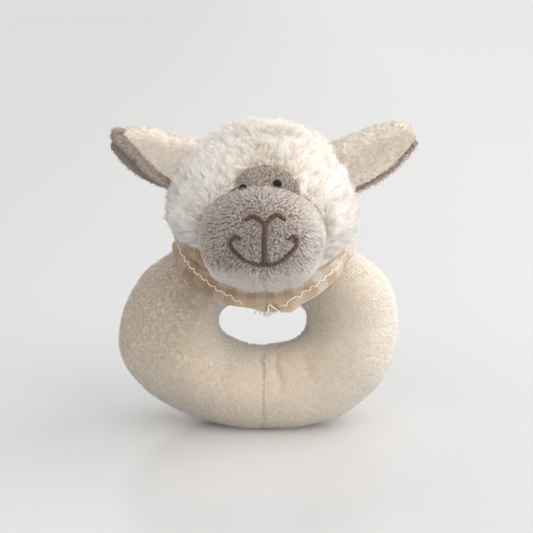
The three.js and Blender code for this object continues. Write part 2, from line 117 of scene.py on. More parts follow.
def nearest_on(line, points):
    """For each point the index of the line's nearest point, and how far off that is."""
    gaps = np.linalg.norm(points[:, None] - line, axis=2)
    return gaps.argmin(1), gaps.min(1)


def resampled(points, count):
    """A smooth curve through a few points, as count points at equal steps."""
    points = np.asarray(points, float)
    ghost = np.concatenate([2 * points[:1] - points[1:2], points, 2 * points[-1:] - points[-2:-1]])
    t = np.linspace(0, 1, 24, endpoint=False)[:, None]
    fine = []
    for i in range(len(points) - 1):
        p0, p1, p2, p3 = ghost[i : i + 4]
        bend = 2 * p0 - 5 * p1 + 4 * p2 - p3
        twist = 3 * p1 - p0 - 3 * p2 + p3
        fine.append(0.5 * (2 * p1 + (p2 - p0) * t + bend * t**2 + twist * t**3))
    fine = np.concatenate(fine + [points[-1:]])
    gone = run_along(fine)
    at = np.linspace(0, gone[-1], count)
    return np.stack([np.interp(at, gone, fine[:, k]) for k in range(fine.shape[1])], axis=-1)


# Meshes


def added(name, data):
    """A new object in the scene."""
    made = bpy.data.objects.new(name, data)
    bpy.context.scene.collection.objects.link(made)
    return made


def new_object(name, points, face_sets, material):
    """A smooth mesh object from points in millimetres and one or more arrays of faces."""
    mesh = bpy.data.meshes.new(name)
    mesh.vertices.add(len(points))
    mesh.vertices.foreach_set("co", np.asarray(points * MM, np.float32).ravel())
    loops = np.concatenate([f.ravel() for f in face_sets]).astype(np.int32)
    sizes = np.concatenate([np.full(len(f), f.shape[1], np.int32) for f in face_sets])
    starts = np.concatenate([[0], np.cumsum(sizes)[:-1]]).astype(np.int32)
    mesh.loops.add(len(loops))
    mesh.loops.foreach_set("vertex_index", loops)
    mesh.polygons.add(len(sizes))
    mesh.polygons.foreach_set("loop_start", starts)
    mesh.polygons.foreach_set("use_smooth", np.full(len(sizes), True))
    mesh.materials.append(material)
    mesh.update(calc_edges=True)
    return added(name, mesh)


def put_on(piece, body, node=None):
    """Hangs a piece on its body, and hides the node that it replaces, if any."""
    if node:
        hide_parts(node)
    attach(piece, body)


def write_values(piece, **values):
    """Numbers at each point of a piece's mesh, for its material to read."""
    for key, numbers in values.items():
        attribute = piece.data.attributes.new(key, "FLOAT", "POINT")
        attribute.data.foreach_set("value", np.asarray(numbers, np.float32))


def signed_volume(points, faces):
    a = points[faces[:, 0]]
    total = 0.0
    for k in range(1, faces.shape[1] - 1):
        total += np.sum(a * np.cross(points[faces[:, k]], points[faces[:, k + 1]]))
    return total / 6


def facing_out(points, *face_sets):
    """The faces of a closed mesh, turned over where they face inwards."""
    if sum(signed_volume(points, faces) for faces in face_sets) > 0:
        return list(face_sets)
    return [faces[:, ::-1] for faces in face_sets]


def grid_quads(rows, columns, wrap):
    r = np.arange(rows - 1)[:, None]
    c = np.arange(columns if wrap else columns - 1)[None, :]
    here = r * columns + c
    right = r * columns + (c + 1) % columns
    return np.stack([here, right, right + columns, here + columns], axis=-1).reshape(-1, 4)


def hem(run, half):
    """Quads between a run of points and the same run on the other side, whose numbers are higher by half."""
    return np.stack([run[:-1], run[1:], run[1:] + half, run[:-1] + half], axis=-1)


def thick_sheet(name, outer, inner, wrap, material):
    """A closed sheet between two grids of points. Its columns may run round and meet."""
    rows, columns = outer.shape[:2]
    half = rows * columns
    points = np.concatenate([outer.reshape(-1, 3), inner.reshape(-1, 3)])
    index = np.arange(half).reshape(rows, columns)
    across = np.append(np.arange(columns), 0) if wrap else np.arange(columns)
    front = grid_quads(rows, columns, wrap)
    faces = [front, front[:, ::-1] + half]
    faces += [hem(index[0, across], half)[:, ::-1], hem(index[-1, across], half)]
    if not wrap:
        faces += [hem(index[:, 0], half), hem(index[:, -1], half)[:, ::-1]]
    return new_object(name, points, facing_out(points, np.concatenate(faces)), material)


def shell(name, outer, inner, material, closed=False):
    """A closed wall between two surfaces, each of rings of points that open out from a pole.

    The first ring's points are all the pole. A closed surface ends at a second pole, and an open one at
    a rim."""
    columns = outer.shape[1]
    here = np.arange(columns)
    after = (here + 1) % columns

    def surface(grid):
        rings = grid[1:-1] if closed else grid[1:]
        return np.concatenate([grid[0, :1], rings.reshape(-1, 3)] + ([grid[-1, :1]] if closed else []))

    outer_points = surface(outer)
    half = len(outer_points)
    points = np.concatenate([outer_points, surface(inner)])
    rings = len(outer) - (2 if closed else 1)
    last = 1 + (rings - 1) * columns
    front = grid_quads(rings, columns, True) + 1
    fan = np.stack([0 * here, 1 + after, 1 + here], axis=-1)
    quads = [front, front[:, ::-1] + half]
    if closed:
        fan = np.concatenate([fan, np.stack([0 * here + half - 1, last + here, last + after], axis=-1)])
    else:
        quads.append(hem(last + np.append(here, 0), half))
    fans = np.concatenate([fan, fan[:, ::-1] + half])
    return new_object(name, points, facing_out(points, np.concatenate(quads), fans), material)


def tubes(paths, radius, sides):
    """Points and faces of round tubes along paths of equal length, as (tube, point, 3)."""
    count, steps, _ = paths.shape
    ahead = unit(np.gradient(paths, axis=1))
    helper = np.where(np.abs(ahead[..., 2:]) < 0.9, UP, np.array([1.0, 0, 0]))
    side = unit(np.cross(ahead, helper))
    up = np.cross(side, ahead)
    turn = (np.arange(sides) / sides * ROUND)[:, None]
    size = np.broadcast_to(np.asarray(radius, float), (count, steps))[..., None, None]
    around = np.cos(turn) * side[:, :, None] + np.sin(turn) * up[:, :, None]
    points = (paths[:, :, None] + size * around).reshape(-1, 3)
    c = np.arange(1, sides - 1)
    start = np.stack([np.zeros_like(c), c + 1, c], axis=-1)
    end = start[:, ::-1] + (steps - 1) * sides
    offset = (np.arange(count) * steps * sides)[:, None, None]
    quads = (grid_quads(steps, sides, True)[None] + offset).reshape(-1, 4)
    caps = (np.concatenate([start, end])[None] + offset).reshape(-1, 3)
    if signed_volume(points, quads) < 0:
        return points, [quads[:, ::-1], caps[:, ::-1]]
    return points, [quads, caps]


# Pile: short plush and long fleece, as real tapered strands
LONG_STRANDS = 0.02  # the share of plush strands that stand out of the pile
BELOW_BACKING = 0.25  # how deep a strand's root is set in


class Skin:
    """A surface as a grid of points, for rooting pile on. Its normals point away from a middle."""

    def __init__(self, grid, wrap, middle):
        self.points = grid.reshape(-1, 3)
        quads = grid_quads(*grid.shape[:2], wrap)
        self.triangles = np.concatenate([quads[:, [0, 1, 2]], quads[:, [0, 2, 3]]])
        a, b, c = (self.points[self.triangles[:, k]] for k in range(3))
        cross = np.cross(b - a, c - a)
        self.areas = np.linalg.norm(cross, axis=1) / 2
        normals = np.zeros_like(self.points)
        for k in range(3):
            np.add.at(normals, self.triangles[:, k], cross)
        self.normals = unit(normals)
        if np.sum((self.points - middle) * self.normals) < 0:
            self.normals = -self.normals

    def scatter(self, density, rng, keep=None):
        """Random roots and their normals. keep gives the share of roots to keep at each point."""
        count = int(self.areas.sum() * density)
        pick = rng.choice(len(self.areas), count, p=self.areas / self.areas.sum())
        u, v = rng.random(count), rng.random(count)
        over = u + v > 1
        u[over], v[over] = 1 - u[over], 1 - v[over]
        weights = np.stack([1 - u - v, u, v], axis=-1)[..., None]
        corners = self.triangles[pick]
        roots = np.sum(self.points[corners] * weights, axis=1)
        normals = unit(np.sum(self.normals[corners] * weights, axis=1))
        if keep is not None:
            chosen = rng.random(count) < keep(roots)
            roots, normals = roots[chosen], normals[chosen]
        return roots, normals


def strand_paths(roots, normals, comb, length, lean, sections, rng, jitter, curl=0.0, turns=1.0):
    """Each strand's points, as (strand, point, 3), and the direction across it.

    lean is the angle from the surface's normal at the root and at the tip, in degrees."""
    count = len(roots)
    side = unit(np.cross(normals, comb))
    swing = rng.normal(0, jitter, count)[:, None]
    ahead = unit(comb * np.cos(swing) + side * np.sin(swing))
    side = unit(np.cross(normals, ahead))
    first = np.radians(lean[0] + rng.normal(0, 9, count))
    last = np.radians(lean[1] + rng.normal(0, 9, count))
    steps = [roots]
    for k in range(sections):
        angle = mix(first, last, (k + 0.5) / sections)[:, None]
        step = normals * np.cos(angle) + ahead * np.sin(angle)
        steps.append(steps[-1] + step * (length / sections)[:, None])
    paths = np.stack(steps, axis=1)
    if curl:
        share = np.linspace(0, 1, sections + 1)
        phase = rng.uniform(0, ROUND, count)[:, None]
        wave = ROUND * turns * share + phase
        size = curl * share * (1.2 - 0.5 * share) * rng.uniform(0.6, 1.3, count)[:, None]
        paths = paths + side[:, None] * ((np.cos(wave) - np.cos(phase)) * size)[..., None]
        paths = paths + normals[:, None] * ((np.sin(wave) - np.sin(phase)) * size * 0.7)[..., None]
    return paths, side


def gathered(paths, every, strength, rng, power, loose):
    """Draws strands towards the nearest of a few leading strands, most at their tips.

    loose is the share of strands that stay out of their tuft."""
    roots = paths[:, 0]
    leaders = rng.choice(len(roots), max(1, len(roots) // every), replace=False)
    tree = KDTree(len(leaders))
    for i, leader in enumerate(leaders):
        tree.insert(roots[leader], i)
    tree.balance()
    nearest = np.array([tree.find(root)[1] for root in roots])
    pull = np.clip(strength * rng.uniform(0.6, 1.25, len(roots)), 0, 0.95)
    pull[rng.random(len(roots)) < loose] = 0.0
    share = np.linspace(0, 1, paths.shape[1])[None] ** power * pull[:, None]
    return paths + (paths[leaders][nearest] - paths) * share[..., None], nearest


def strand_faces(sections):
    """One strand's triangles: a three-sided taper with a closed root."""
    faces = [[0, 2, 1]]
    for low in range(0, 3 * (sections - 1), 3):
        high = low + 3
        for j, n in ((0, 1), (1, 2), (2, 0)):
            faces.append([low + j, low + n, high + n])
            faces.append([low + j, high + n, high + j])
    last = 3 * (sections - 1)
    for j, n in ((0, 1), (1, 2), (2, 0)):
        faces.append([last + j, last + n, 3 * sections])
    return np.array(faces)


def add_bake_map(mesh, one, count, sections):
    """A texture map in which each strand has a cell of its own."""
    across = math.ceil(math.sqrt(count))
    cell = 1 / across
    corner_u = np.append(np.tile([0.15, 0.5, 0.85], sections), 0.5)
    corner_v = np.append(np.repeat(np.linspace(0.1, 0.9, sections + 1)[:-1], 3), 0.9)
    which = np.arange(count)
    u = ((which % across)[:, None] + corner_u[one.ravel()]) * cell
    v = ((which // across)[:, None] + corner_v[one.ravel()]) * cell
    layer = mesh.uv_layers.new(name="OFBake")
    layer.data.foreach_set("uv", np.stack([u, v], axis=-1).astype(np.float32).ravel())


def pile(
    name, body, slot, material, paths, side, normals, rng, width, tuft, pull, uneven,
    power=1.4, loose=0.15, grain=0.1, painted_light=0.0, warm=0.0, least_height=None,
    pieces=1, order=2, soften=0.5, taper=2.2, casts_shadow=True,
):
    """Draws strands into tufts and makes them as mesh pieces that ride on a body.

    uneven is how far the tufts differ in shade, and grain how far their strands do. order is the axis along
    which the strands are split into pieces. Fine pale pile lets the light through to its own strands, so it
    can be told to cast no shadow; the backing under it still does."""
    paths, clump = gathered(paths, tuft, pull, rng, power, loose)
    if least_height is not None:
        paths[..., 2] = np.maximum(paths[..., 2], least_height)
    count, steps, _ = paths.shape
    sections = steps - 1
    of_tuft = rng.normal(0, uneven, clump.max() + 1)[clump]
    # the tint adds painted light and shade to the tufts' and strands' own shades
    tint = np.clip(rng.normal(0.5, grain, count) + of_tuft + painted_light, 0, 1)
    warm = np.broadcast_to(warm, count)
    share = np.linspace(0, 1, steps)[:-1]
    radius = rng.uniform(*width, count)[:, None] / 2 * (1 - share**taper * 0.9)

    ahead = unit(np.gradient(paths, axis=1))
    up = unit(np.cross(side[:, None], ahead))
    across = np.cross(ahead, up)
    corners = np.radians([90, 210, 330])[:, None]
    out = np.cos(corners) * across[:, :-1, None] + np.sin(corners) * up[:, :-1, None]
    rings = paths[:, :-1, None] + radius[..., None, None] * out
    rings[:, 0] -= BELOW_BACKING * normals[:, None]
    points = np.concatenate([rings.reshape(count, -1, 3), paths[:, -1:]], axis=1)
    shade = np.concatenate([out.reshape(count, -1, 3), ahead[:, -1:]], axis=1)
    shade = unit(mix(shade, normals[:, None], soften))
    height = np.append(np.repeat(share, 3), 1.0)
    (one,) = facing_out(points[0] - points[0].mean(0), strand_faces(sections))
    each = points.shape[1]
    for i, chosen in enumerate(np.array_split(np.argsort(paths[:, 0, order]), pieces)):
        faces = (one[None] + (np.arange(len(chosen)) * each)[:, None, None]).reshape(-1, 3)
        label = name if pieces == 1 else f"{name}_{i + 1}"
        piece = new_object(label, points[chosen].reshape(-1, 3), [faces], material)
        write_values(
            piece, along=np.tile(height, len(chosen)), tint=np.repeat(tint[chosen], each),
            warm=np.repeat(warm[chosen], each),
        )
        add_bake_map(piece.data, one, len(chosen), sections)
        piece.data.normals_split_custom_set_from_vertices(shade[chosen].reshape(-1, 3))
        piece.visible_shadow = casts_shadow
        put_on(piece, body)


def plant(
    name, body, slot, material, skin, density, seed, comb_of, length, width, keep=None, lean=(22, 60),
    sections=1, jitter=0.4, long_of=None, painted_light_at=None, warmer_at=None, tuft=9, **look,
):
    """Grows short plush on a skin.

    long_of gives how much longer the pile is at each root. The painted light says how much paler or darker
    its pile is painted, as painted light and shade, and the bounce warmth how much painted warmth of bounced
    light it gets. The other values are pile's."""
    rng = np.random.default_rng(SEED + seed)
    roots, normals = skin.scatter(density, rng, keep)
    comb = along_surface(comb_of(roots), normals)
    reach = rng.uniform(*length, len(roots)) * np.where(rng.random(len(roots)) < LONG_STRANDS, 1.3, 1.0)
    if long_of:
        reach = reach * long_of(roots)
    paths, across = strand_paths(roots, normals, comb, reach, lean, sections, rng, jitter)
    # painted light and shade, and painted warmth of bounced light
    painted_light = painted_light_at(roots) if painted_light_at else 0.0
    warm = np.clip(warmer_at(roots), 0, 1) if warmer_at else 0.0
    pile(
        name, body, slot, material, paths, across, normals, rng, width, tuft,
        painted_light=painted_light, warm=warm, **look,
    )


# Materials


def linear(colour):
    """A colour written as #rrggbb, as the renderer's linear numbers."""
    parts = [int(colour[i : i + 2], 16) / 255 for i in (1, 3, 5)]
    return tuple(p / 12.92 if p <= 0.04045 else ((p + 0.055) / 1.055) ** 2.4 for p in parts) + (1.0,)


class Finish:
    """A material's node tree round its Principled shader. Colours are written as #rrggbb."""

    def __init__(self, name, roughness, specular):
        self.material = bpy.data.materials.new(name)
        self.material.use_nodes = True
        self.tree = self.material.node_tree
        self.shader = self.tree.nodes["Principled BSDF"]
        self.set("Roughness", roughness)
        self.set("Specular IOR Level", specular)

    def put(self, socket, value):
        if isinstance(value, bpy.types.NodeSocket):
            self.tree.links.new(value, socket)
        else:
            socket.default_value = linear(value) if isinstance(value, str) else value

    def set(self, name, value):
        self.put(self.shader.inputs[name], value)

    def node(self, kind, inputs=(), **settings):
        made = self.tree.nodes.new("ShaderNode" + kind)
        for key, value in settings.items():
            setattr(made, key, value)
        for key, value in dict(inputs).items():
            self.put(made.inputs[key], value)
        return made

    def place(self):
        return self.node("TexCoord").outputs["Object"]

    def along(self, axis):
        return self.node("SeparateXYZ", {"Vector": self.place()}).outputs[axis]

    def noise(self, size, detail=3.0):
        """Noise whose lumps are about size millimetres across."""
        inputs = {"Vector": self.place(), "Scale": 1 / (size * MM), "Detail": detail}
        return self.node("TexNoise", inputs).outputs["Fac"]

    def read(self, name):
        return self.node("Attribute", attribute_name=name).outputs["Fac"]

    def calc(self, operation, a, b=0.0, clamp=False):
        return self.node("Math", {0: a, 1: b}, operation=operation, use_clamp=clamp).outputs[0]

    def spread(self, value, low, high, to_low=0.0, to_high=1.0):
        inputs = {"Value": value, "From Min": low, "From Max": high, "To Min": to_low, "To Max": to_high}
        return self.node("MapRange", inputs).outputs[0]

    def mottle(self, size, edge=0.3, low=0.0, high=1.0, detail=3.0):
        """Soft patches between low and high."""
        return self.spread(self.noise(size, detail), edge, 1 - edge, low, high)

    def blend(self, share, a, b, kind="MIX"):
        return self.node("Mix", {0: share, 6: a, 7: b}, data_type="RGBA", blend_type=kind).outputs[2]

    def bump(self, height, depth):
        """Bumps depth millimetres high."""
        made = self.node("Bump", {"Height": height, "Distance": depth * MM, "Strength": 1.0})
        self.set("Normal", made.outputs[0])

    def sheen(self, weight, roughness=0.4, tint="#ffffff"):
        self.set("Sheen Weight", weight)
        self.set("Sheen Roughness", roughness)
        self.set("Sheen Tint", tint)


# the colour of painted warmth, for light that bounces deep in the pile
BOUNCE_WARMTH_TINT = "#fff6e8"
SHEEN_TINT = "#ffe9d2"
KNIT = 0.5  # the backings' loops
STRAND_GAP = 0.35  # the sewing threads' strands


def pile_finish(name, root, dark, light, tip, patch=14.0, patchy=0.35, sheen=0.15):
    """Pile painted darker at its root, as painted shade deep in the pile, and paler towards its tip, as
    painted light on the tips. Its strands and patches have shades of their own, and its tint carries painted
    light and shade.
    """
    finish = Finish(name, 0.85, 0.2)
    tint = finish.calc("MULTIPLY", finish.read("tint"), 1 - patchy)
    shade = finish.calc("ADD", tint, finish.mottle(patch, high=patchy), clamp=True)
    height = finish.read("along")
    # painted shade deep in the pile: the root colour, under the tint's own shades
    colour = finish.blend(finish.spread(height, 0.0, 0.45), root, finish.blend(shade, dark, light))
    # painted light on the tips: paler towards the tip
    at_tip = finish.calc("MULTIPLY", finish.spread(height, 0.4, 0.95), 0.75)
    colour = finish.blend(at_tip, colour, tip)
    # painted warmth of light that bounces deep in the pile, most towards the root
    deep = finish.calc("MULTIPLY", finish.read("warm"), finish.spread(height, 0.2, 0.9, 1.0, 0.15))
    finish.set("Base Color", finish.blend(deep, colour, BOUNCE_WARMTH_TINT, "MULTIPLY"))
    finish.sheen(sheen, tint=SHEEN_TINT)
    return finish.material


def backing_finish(name, dark, light):
    """The knitted backing that pile grows from."""
    finish = Finish(name, 0.95, 0.1)
    finish.set("Base Color", finish.blend(finish.mottle(3 * KNIT, 0.35), dark, light))
    finish.bump(finish.noise(KNIT), 0.2)
    return finish.material


def thread_finish(name, dark, light, roughness=0.55, sheen=0.2, by_stitch=False, specular=0.4):
    finish = Finish(name, roughness, specular)
    shade = finish.mottle(2 * STRAND_GAP)
    if by_stitch:
        shade = finish.calc("ADD", finish.calc("MULTIPLY", shade, 0.35), finish.read("tint"), clamp=True)
    finish.set("Base Color", finish.blend(shade, dark, light))
    finish.bump(finish.noise(0.5 * STRAND_GAP), 0.05)
    finish.sheen(sheen, 0.5)
    return finish.material


def fill_finish():
    finish = Finish("fibre_fill", 0.95, 0.1)
    finish.set("Base Color", finish.blend(finish.mottle(2.5, 0.35, detail=6.0), "#dcd9d2", "#f4f2ec"))
    finish.bump(finish.noise(1.2, 6.0), 0.6)
    finish.sheen(0.2)
    return finish.material


def plastic_finish(name, dark, light, roughness):
    finish = Finish(name, roughness, 0.5)
    finish.set("Base Color", finish.blend(finish.mottle(6.0), dark, light))
    scuffs = finish.spread(finish.noise(0.8, 5.0), 0.4, 0.7, roughness, roughness + 0.15)
    finish.set("Roughness", scuffs)
    finish.bump(finish.noise(1.5), 0.02)
    return finish.material


ring_pile = pile_finish("ring_plush_pile", "#d6c7b4", "#c1b5a5", "#f3ede5", "#f6f1eb", patchy=0.1, sheen=0.04)
ring_backing = backing_finish("ring_plush_backing", "#d6c7b3", "#e1d4c3")
fleece_pile = pile_finish("fleece_pile", "#dfcfbb", "#cbbeae", "#fbf7f1", "#fbf9f5", patchy=0.15)
fleece_backing = backing_finish("fleece_backing", "#f8e8d0", "#fdf3e2")
face_pile = pile_finish(
    "face_plush_pile", "#88766a", "#8e7e73", "#efe7e1", "#f2ece7", patch=11, patchy=0.1, sheen=0.4
)
face_backing = backing_finish("face_plush_backing", "#a5968b", "#b9aba1")
brow_pile = pile_finish("brow_plush_pile", "#897a6e", "#9d8e83", "#bcafa4", "#d0c6bc", patch=7, sheen=0.3)
ear_pile = pile_finish("ear_plush_pile", "#dccfbd", "#d2c7b8", "#fbf6ef", "#f8f4ee", patchy=0.1)
ear_backing = backing_finish("ear_plush_backing", "#e3d8c7", "#ede4d7")
lining_pile = pile_finish(
    "ear_lining_pile", "#978271", "#a08c7d", "#e3d7cc", "#eee5dc", patch=8, patchy=0.1, sheen=0.3
)
lining_backing = backing_finish("ear_lining_backing", "#9e8b7c", "#b19f91")
thin_rim_pile = pile_finish("ear_rim_pile", "#d9c8ba", "#e4d6ca", "#f3eae2", "#fdf9f6", patch=8, sheen=0.4)
brown_thread = thread_finish("brown_thread", "#25170f", "#6d4f3d", by_stitch=True)
black_thread = thread_finish("black_thread", "#030202", "#0f0b09", roughness=0.22, sheen=0.0, specular=0.3)
white_thread = thread_finish("white_thread", "#e4ddd2", "#fbf8f2")
frayed_yarn = thread_finish("frayed_yarn", "#c3a684", "#efe4d3")
fill = fill_finish()
capsule_plastic = plastic_finish("capsule_moulding", "#c9d3d8", "#e2e9ec", 0.25)
bead_plastic = plastic_finish("bead_moulding", "#b03428", "#c94a3a", 0.2)


# Ring
LEAN = math.radians(8)
ring_left_low, ring_left_high = span("ring_cover_left")
ring_right_low, ring_right_high = span("ring_cover_right")
SEAM_X = (ring_left_high[0] + ring_right_low[0]) / 2
RING_CENTRE_X = -2.1
RING_HALF_WIDTH = (ring_right_high[0] - ring_left_low[0]) / 2
RING_TOP = 89.5
RING_FOOT = -2.0
RING_DEPTH = 0.96  # the tube's depth, as a share of its height
RING_LEFT = (39.0, 2.15, 1.78)  # height of its widest place, then how full it is above and below
RING_RIGHT = (47.0, 2.4, 2.25)
HOLE_X = 0.1
HOLE_HALF_WIDTH = 21.0
HOLE_TOP = 61.0
HOLE_BOTTOM = 37.0
HOLE_MIDDLE = (HOLE_TOP + HOLE_BOTTOM) / 2
HOLE_FULLNESS = 2.2
PLUSH_INSET = 0.95  # from the frame's surface in to the backing
COVER_WALL = 0.9
FLOOR_GAP = 0.35
CUT_GAP = 0.04
RING_STEPS = 118  # round half of the ring
TUBE_STEPS = 72
SEAM_OVERLAP = math.radians(7)  # the halves run a little past the seam, where they are cut flat


def rounded(angle, centre_x, half_width, top, bottom, widest, upper, lower):
    """An outline with corners of its own fullness above and below its widest place, as (x, height)."""
    up = np.sin(angle)
    half = np.where(up > 0, top - widest, widest - bottom)
    power = 2 / np.where(up > 0, upper, lower)
    x = centre_x + half_width * signed_power(np.cos(angle), power)
    return np.stack([x, widest + half * signed_power(up, power)], axis=-1)


def ring_surface(angles, turns, inset):
    """The ring's tube, as a grid of points: round the ring, then round the tube."""
    left = np.cos(angles) < 0
    widest, upper, lower = (np.where(left, a, b) for a, b in zip(RING_LEFT, RING_RIGHT))
    outside = rounded(angles, RING_CENTRE_X, RING_HALF_WIDTH, RING_TOP, RING_FOOT, widest, upper, lower)
    full = HOLE_FULLNESS
    hole = rounded(angles, HOLE_X, HOLE_HALF_WIDTH, HOLE_TOP, HOLE_BOTTOM, HOLE_MIDDLE, full, full)
    middle = (outside + hole) / 2
    half = np.linalg.norm(outside - hole, axis=1) / 2
    reach = (half - inset)[:, None] * np.cos(turns)
    deep = (half * RING_DEPTH - inset)[:, None] * np.sin(turns)
    flat = middle[:, None] + reach[..., None] * unit(outside - hole)[:, None]
    foot = (HOLE_BOTTOM + RING_FOOT) / 2
    rise = flat[..., 1] - foot
    back = deep * math.cos(LEAN) + rise * math.sin(LEAN)
    return xyz(flat[..., 0], back, foot + rise * math.cos(LEAN) - deep * math.sin(LEAN))


def tube_middles(grid):
    """For each point of a ring's grid, the middle of the tube there."""
    return np.repeat(grid.mean(1), grid.shape[1], axis=0)


# Soft folds of the plush below the hand hole: a line of (x, height) seen from the front, its depth and width
RING_FOLDS = [
    ([(6.2, 36.5), (6.9, 29.0), (8.6, 26.4), (8.4, 21.5)], 1.2, 1.5),
    ([(18.0, 37.5), (20.0, 33.8), (22.3, 27.5)], 0.7, 2.4),
    ([(-0.8, 36.5), (-0.4, 31.0), (0.4, 27.0)], 0.45, 1.5),
    ([(-12.0, 36.5), (-15.9, 30.4), (-18.5, 23.5)], 0.5, 2.8),
]


def fold_depth(points):
    """How deep the ring's front is pressed in at each point."""
    depth = 0.0
    for line, deep, wide in RING_FOLDS:
        nearest, gap = nearest_on(resampled(line, 40), points[:, [0, 2]])
        fade = np.sin(math.pi * np.clip((nearest + 3) / 45, 0, 1)) ** 0.7
        depth = depth + deep * bell(gap, 0, wide) * fade
    return depth * ease(-points[:, 1], -2, 4)


def seam_closed(points):
    """How far the pile has closed over the seam: in front, below the hand hole."""
    return ease(points[:, 2], 24, 30) * ease(-points[:, 1], -5, 2)


def shaped_ring(grid, foot):
    """Presses the seam and the folds in, adds soft lumps, and flattens the foot."""
    points = grid.reshape(-1, 3)
    outward = unit(points - tube_middles(grid))
    seam = 0.5 * bell(points[:, 0], SEAM_X, 0.9) * (1 - seam_closed(points))
    lumps = 0.55 * np.sum(swirl(points, 30, 3) * outward, axis=1)
    moved = points - outward * (seam + fold_depth(points) - lumps)[:, None]
    moved[:, 2] = np.maximum(moved[:, 2], foot)
    return moved.reshape(grid.shape)


def ring_half(side):
    """One sewn half of the ring's cover with its pile."""
    name = side_name(side)
    quarter = math.pi / 2
    angles = np.linspace(quarter - SEAM_OVERLAP, 3 * quarter + SEAM_OVERLAP, RING_STEPS)
    if side > 0:
        angles = angles + math.pi
    turns = np.linspace(0, ROUND, TUBE_STEPS, endpoint=False)

    def cut(inset):
        grid = shaped_ring(ring_surface(angles, turns, PLUSH_INSET + inset), FLOOR_GAP + inset)
        grid[..., 0] = side * np.maximum(side * grid[..., 0], side * SEAM_X + CUT_GAP)
        return grid

    outer = cut(0.0)
    cover = thick_sheet(f"ring_plush_{name}", outer, cut(COVER_WALL), True, ring_backing)
    put_on(cover, "ring", f"ring_cover_{name}")

    def keep(roots):
        at_seam = (side * (roots[:, 0] - SEAM_X) < 0.1) & (seam_closed(roots) < 0.3) & (roots[:, 2] < 16)
        under = roots[:, 2] < 0.9
        return np.where(at_seam, 0.0, np.where(under, 0.25, 1.0))

    def from_hole(roots):
        return np.hypot(roots[:, 0] - HOLE_X, 1.2 * (roots[:, 2] - HOLE_MIDDLE))

    # Painted light and shade: paler round the hand hole, where bounced light falls, and to the right and
    # lower right, where the key light falls; darker at the upper left under the head, in the folds and along
    # the open seam.
    def painted_light_at(roots):
        x, _, height = roots.T
        near_seam = bell(x, SEAM_X, 1.2) * (1 - seam_closed(roots))
        near_hole = (0.6 + 0.2 * (x > 0)) * (1 - ease(from_hole(roots), 24, 42))
        side_light = 0.45 * ease(x, -30, 30) + 0.12
        side_light = side_light + 0.25 * ease(x, 12, 32) * (1 - ease(height, 14, 34))
        side_light = side_light - 1.1 * ease(height, 26, 66) * ease(-x, 22, 40)
        return near_hole + side_light - 0.9 * np.clip(fold_depth(roots), 0, 1) - 0.2 * near_seam

    # Painted warmth of bounced light: some all over, more round the hand hole on the right, less at the lit
    # right edge.
    def warmer_at(roots):
        x = roots[:, 0]
        return 0.5 - 0.4 * ease(x, 20, 50) + 0.4 * (1 - ease(from_hole(roots), 24, 36)) * (x > 0)

    def comb(roots):
        across_seam = bell(roots[:, 0], SEAM_X, 2.5) * seam_closed(roots)
        outward_and_down = xyz(roots[:, 0] / 110 - 1.6 * side * across_seam, 0.0, -1.0)
        return outward_and_down + 0.4 * swirl(roots, 12, 21)

    plant(
        f"ring_pile_{name}", "ring", "ring_plush", ring_pile, Skin(outer, True, tube_middles(outer)), 6.6,
        side, comb, (1.5, 2.3), (0.26, 0.4), keep=keep, lean=(8, 42), jitter=1.2, pieces=3, pull=0.72, tuft=5,
        least_height=0.15, painted_light_at=painted_light_at, warmer_at=warmer_at, uneven=0.16, casts_shadow=False,
    )


ring_half(-1)
ring_half(1)


# Head


class Egg:
    """A stuffed form: an ellipsoid whose lower half has a height of its own."""

    def __init__(self, centre, wide, deep, rise, drop):
        self.centre = centre
        self.wide = wide
        self.deep = deep
        self.rise = rise
        self.drop = drop

    def size(self, up, inset):
        """Its three half sizes, for places above or below its centre."""
        return xyz(self.wide, self.deep, np.where(up > 0, self.rise, self.drop)) - inset

    def at(self, direction, inset):
        """Points in the given unit directions."""
        return self.centre + direction * self.size(direction[..., 2], inset)

    def outside(self, points, grow=0.0):
        """Below 1 inside the egg, above 1 outside it."""
        away = points - self.centre
        return np.linalg.norm(away / self.size(away[:, 2], -grow), axis=1)

    def front(self, x, up, inset):
        """Points on its front, from x and the height above its centre."""
        wide, deep, tall = np.moveaxis(self.size(up, inset), -1, 0)
        share = (x / wide) ** 2 + (up / tall) ** 2
        return xyz(x, self.centre[1] - deep * np.sqrt(np.clip(1 - share, 0, 1)), self.centre[2] + up)


fleece_low, fleece_high = span("head_fleece_left")
HEAD_HALF_DEPTH = 36.0
HEAD_DROP = 34.5
HEAD_CENTRE = np.array([0.0, fleece_high[1] - HEAD_HALF_DEPTH, 103.0])
HEAD = Egg(HEAD_CENTRE, -fleece_low[0], HEAD_HALF_DEPTH, fleece_high[2] - HEAD_CENTRE[2], HEAD_DROP)
muzzle_low, muzzle_high = span("muzzle_cover")
MUZZLE_HALF_DEPTH = 25.0
MUZZLE_RISE = 21.7
MUZZLE_DROP = 22.5
MUZZLE_CENTRE = np.array([0.0, muzzle_low[1] + MUZZLE_HALF_DEPTH, muzzle_low[2] + MUZZLE_DROP])
muzzle_half_width = (muzzle_high[0] - muzzle_low[0]) / 2
MUZZLE = Egg(MUZZLE_CENTRE, muzzle_half_width, MUZZLE_HALF_DEPTH, MUZZLE_RISE, MUZZLE_DROP)


def muzzle_gap(points):
    """About how far points are outside the muzzle."""
    return 40 * (MUZZLE.outside(points) - 1)


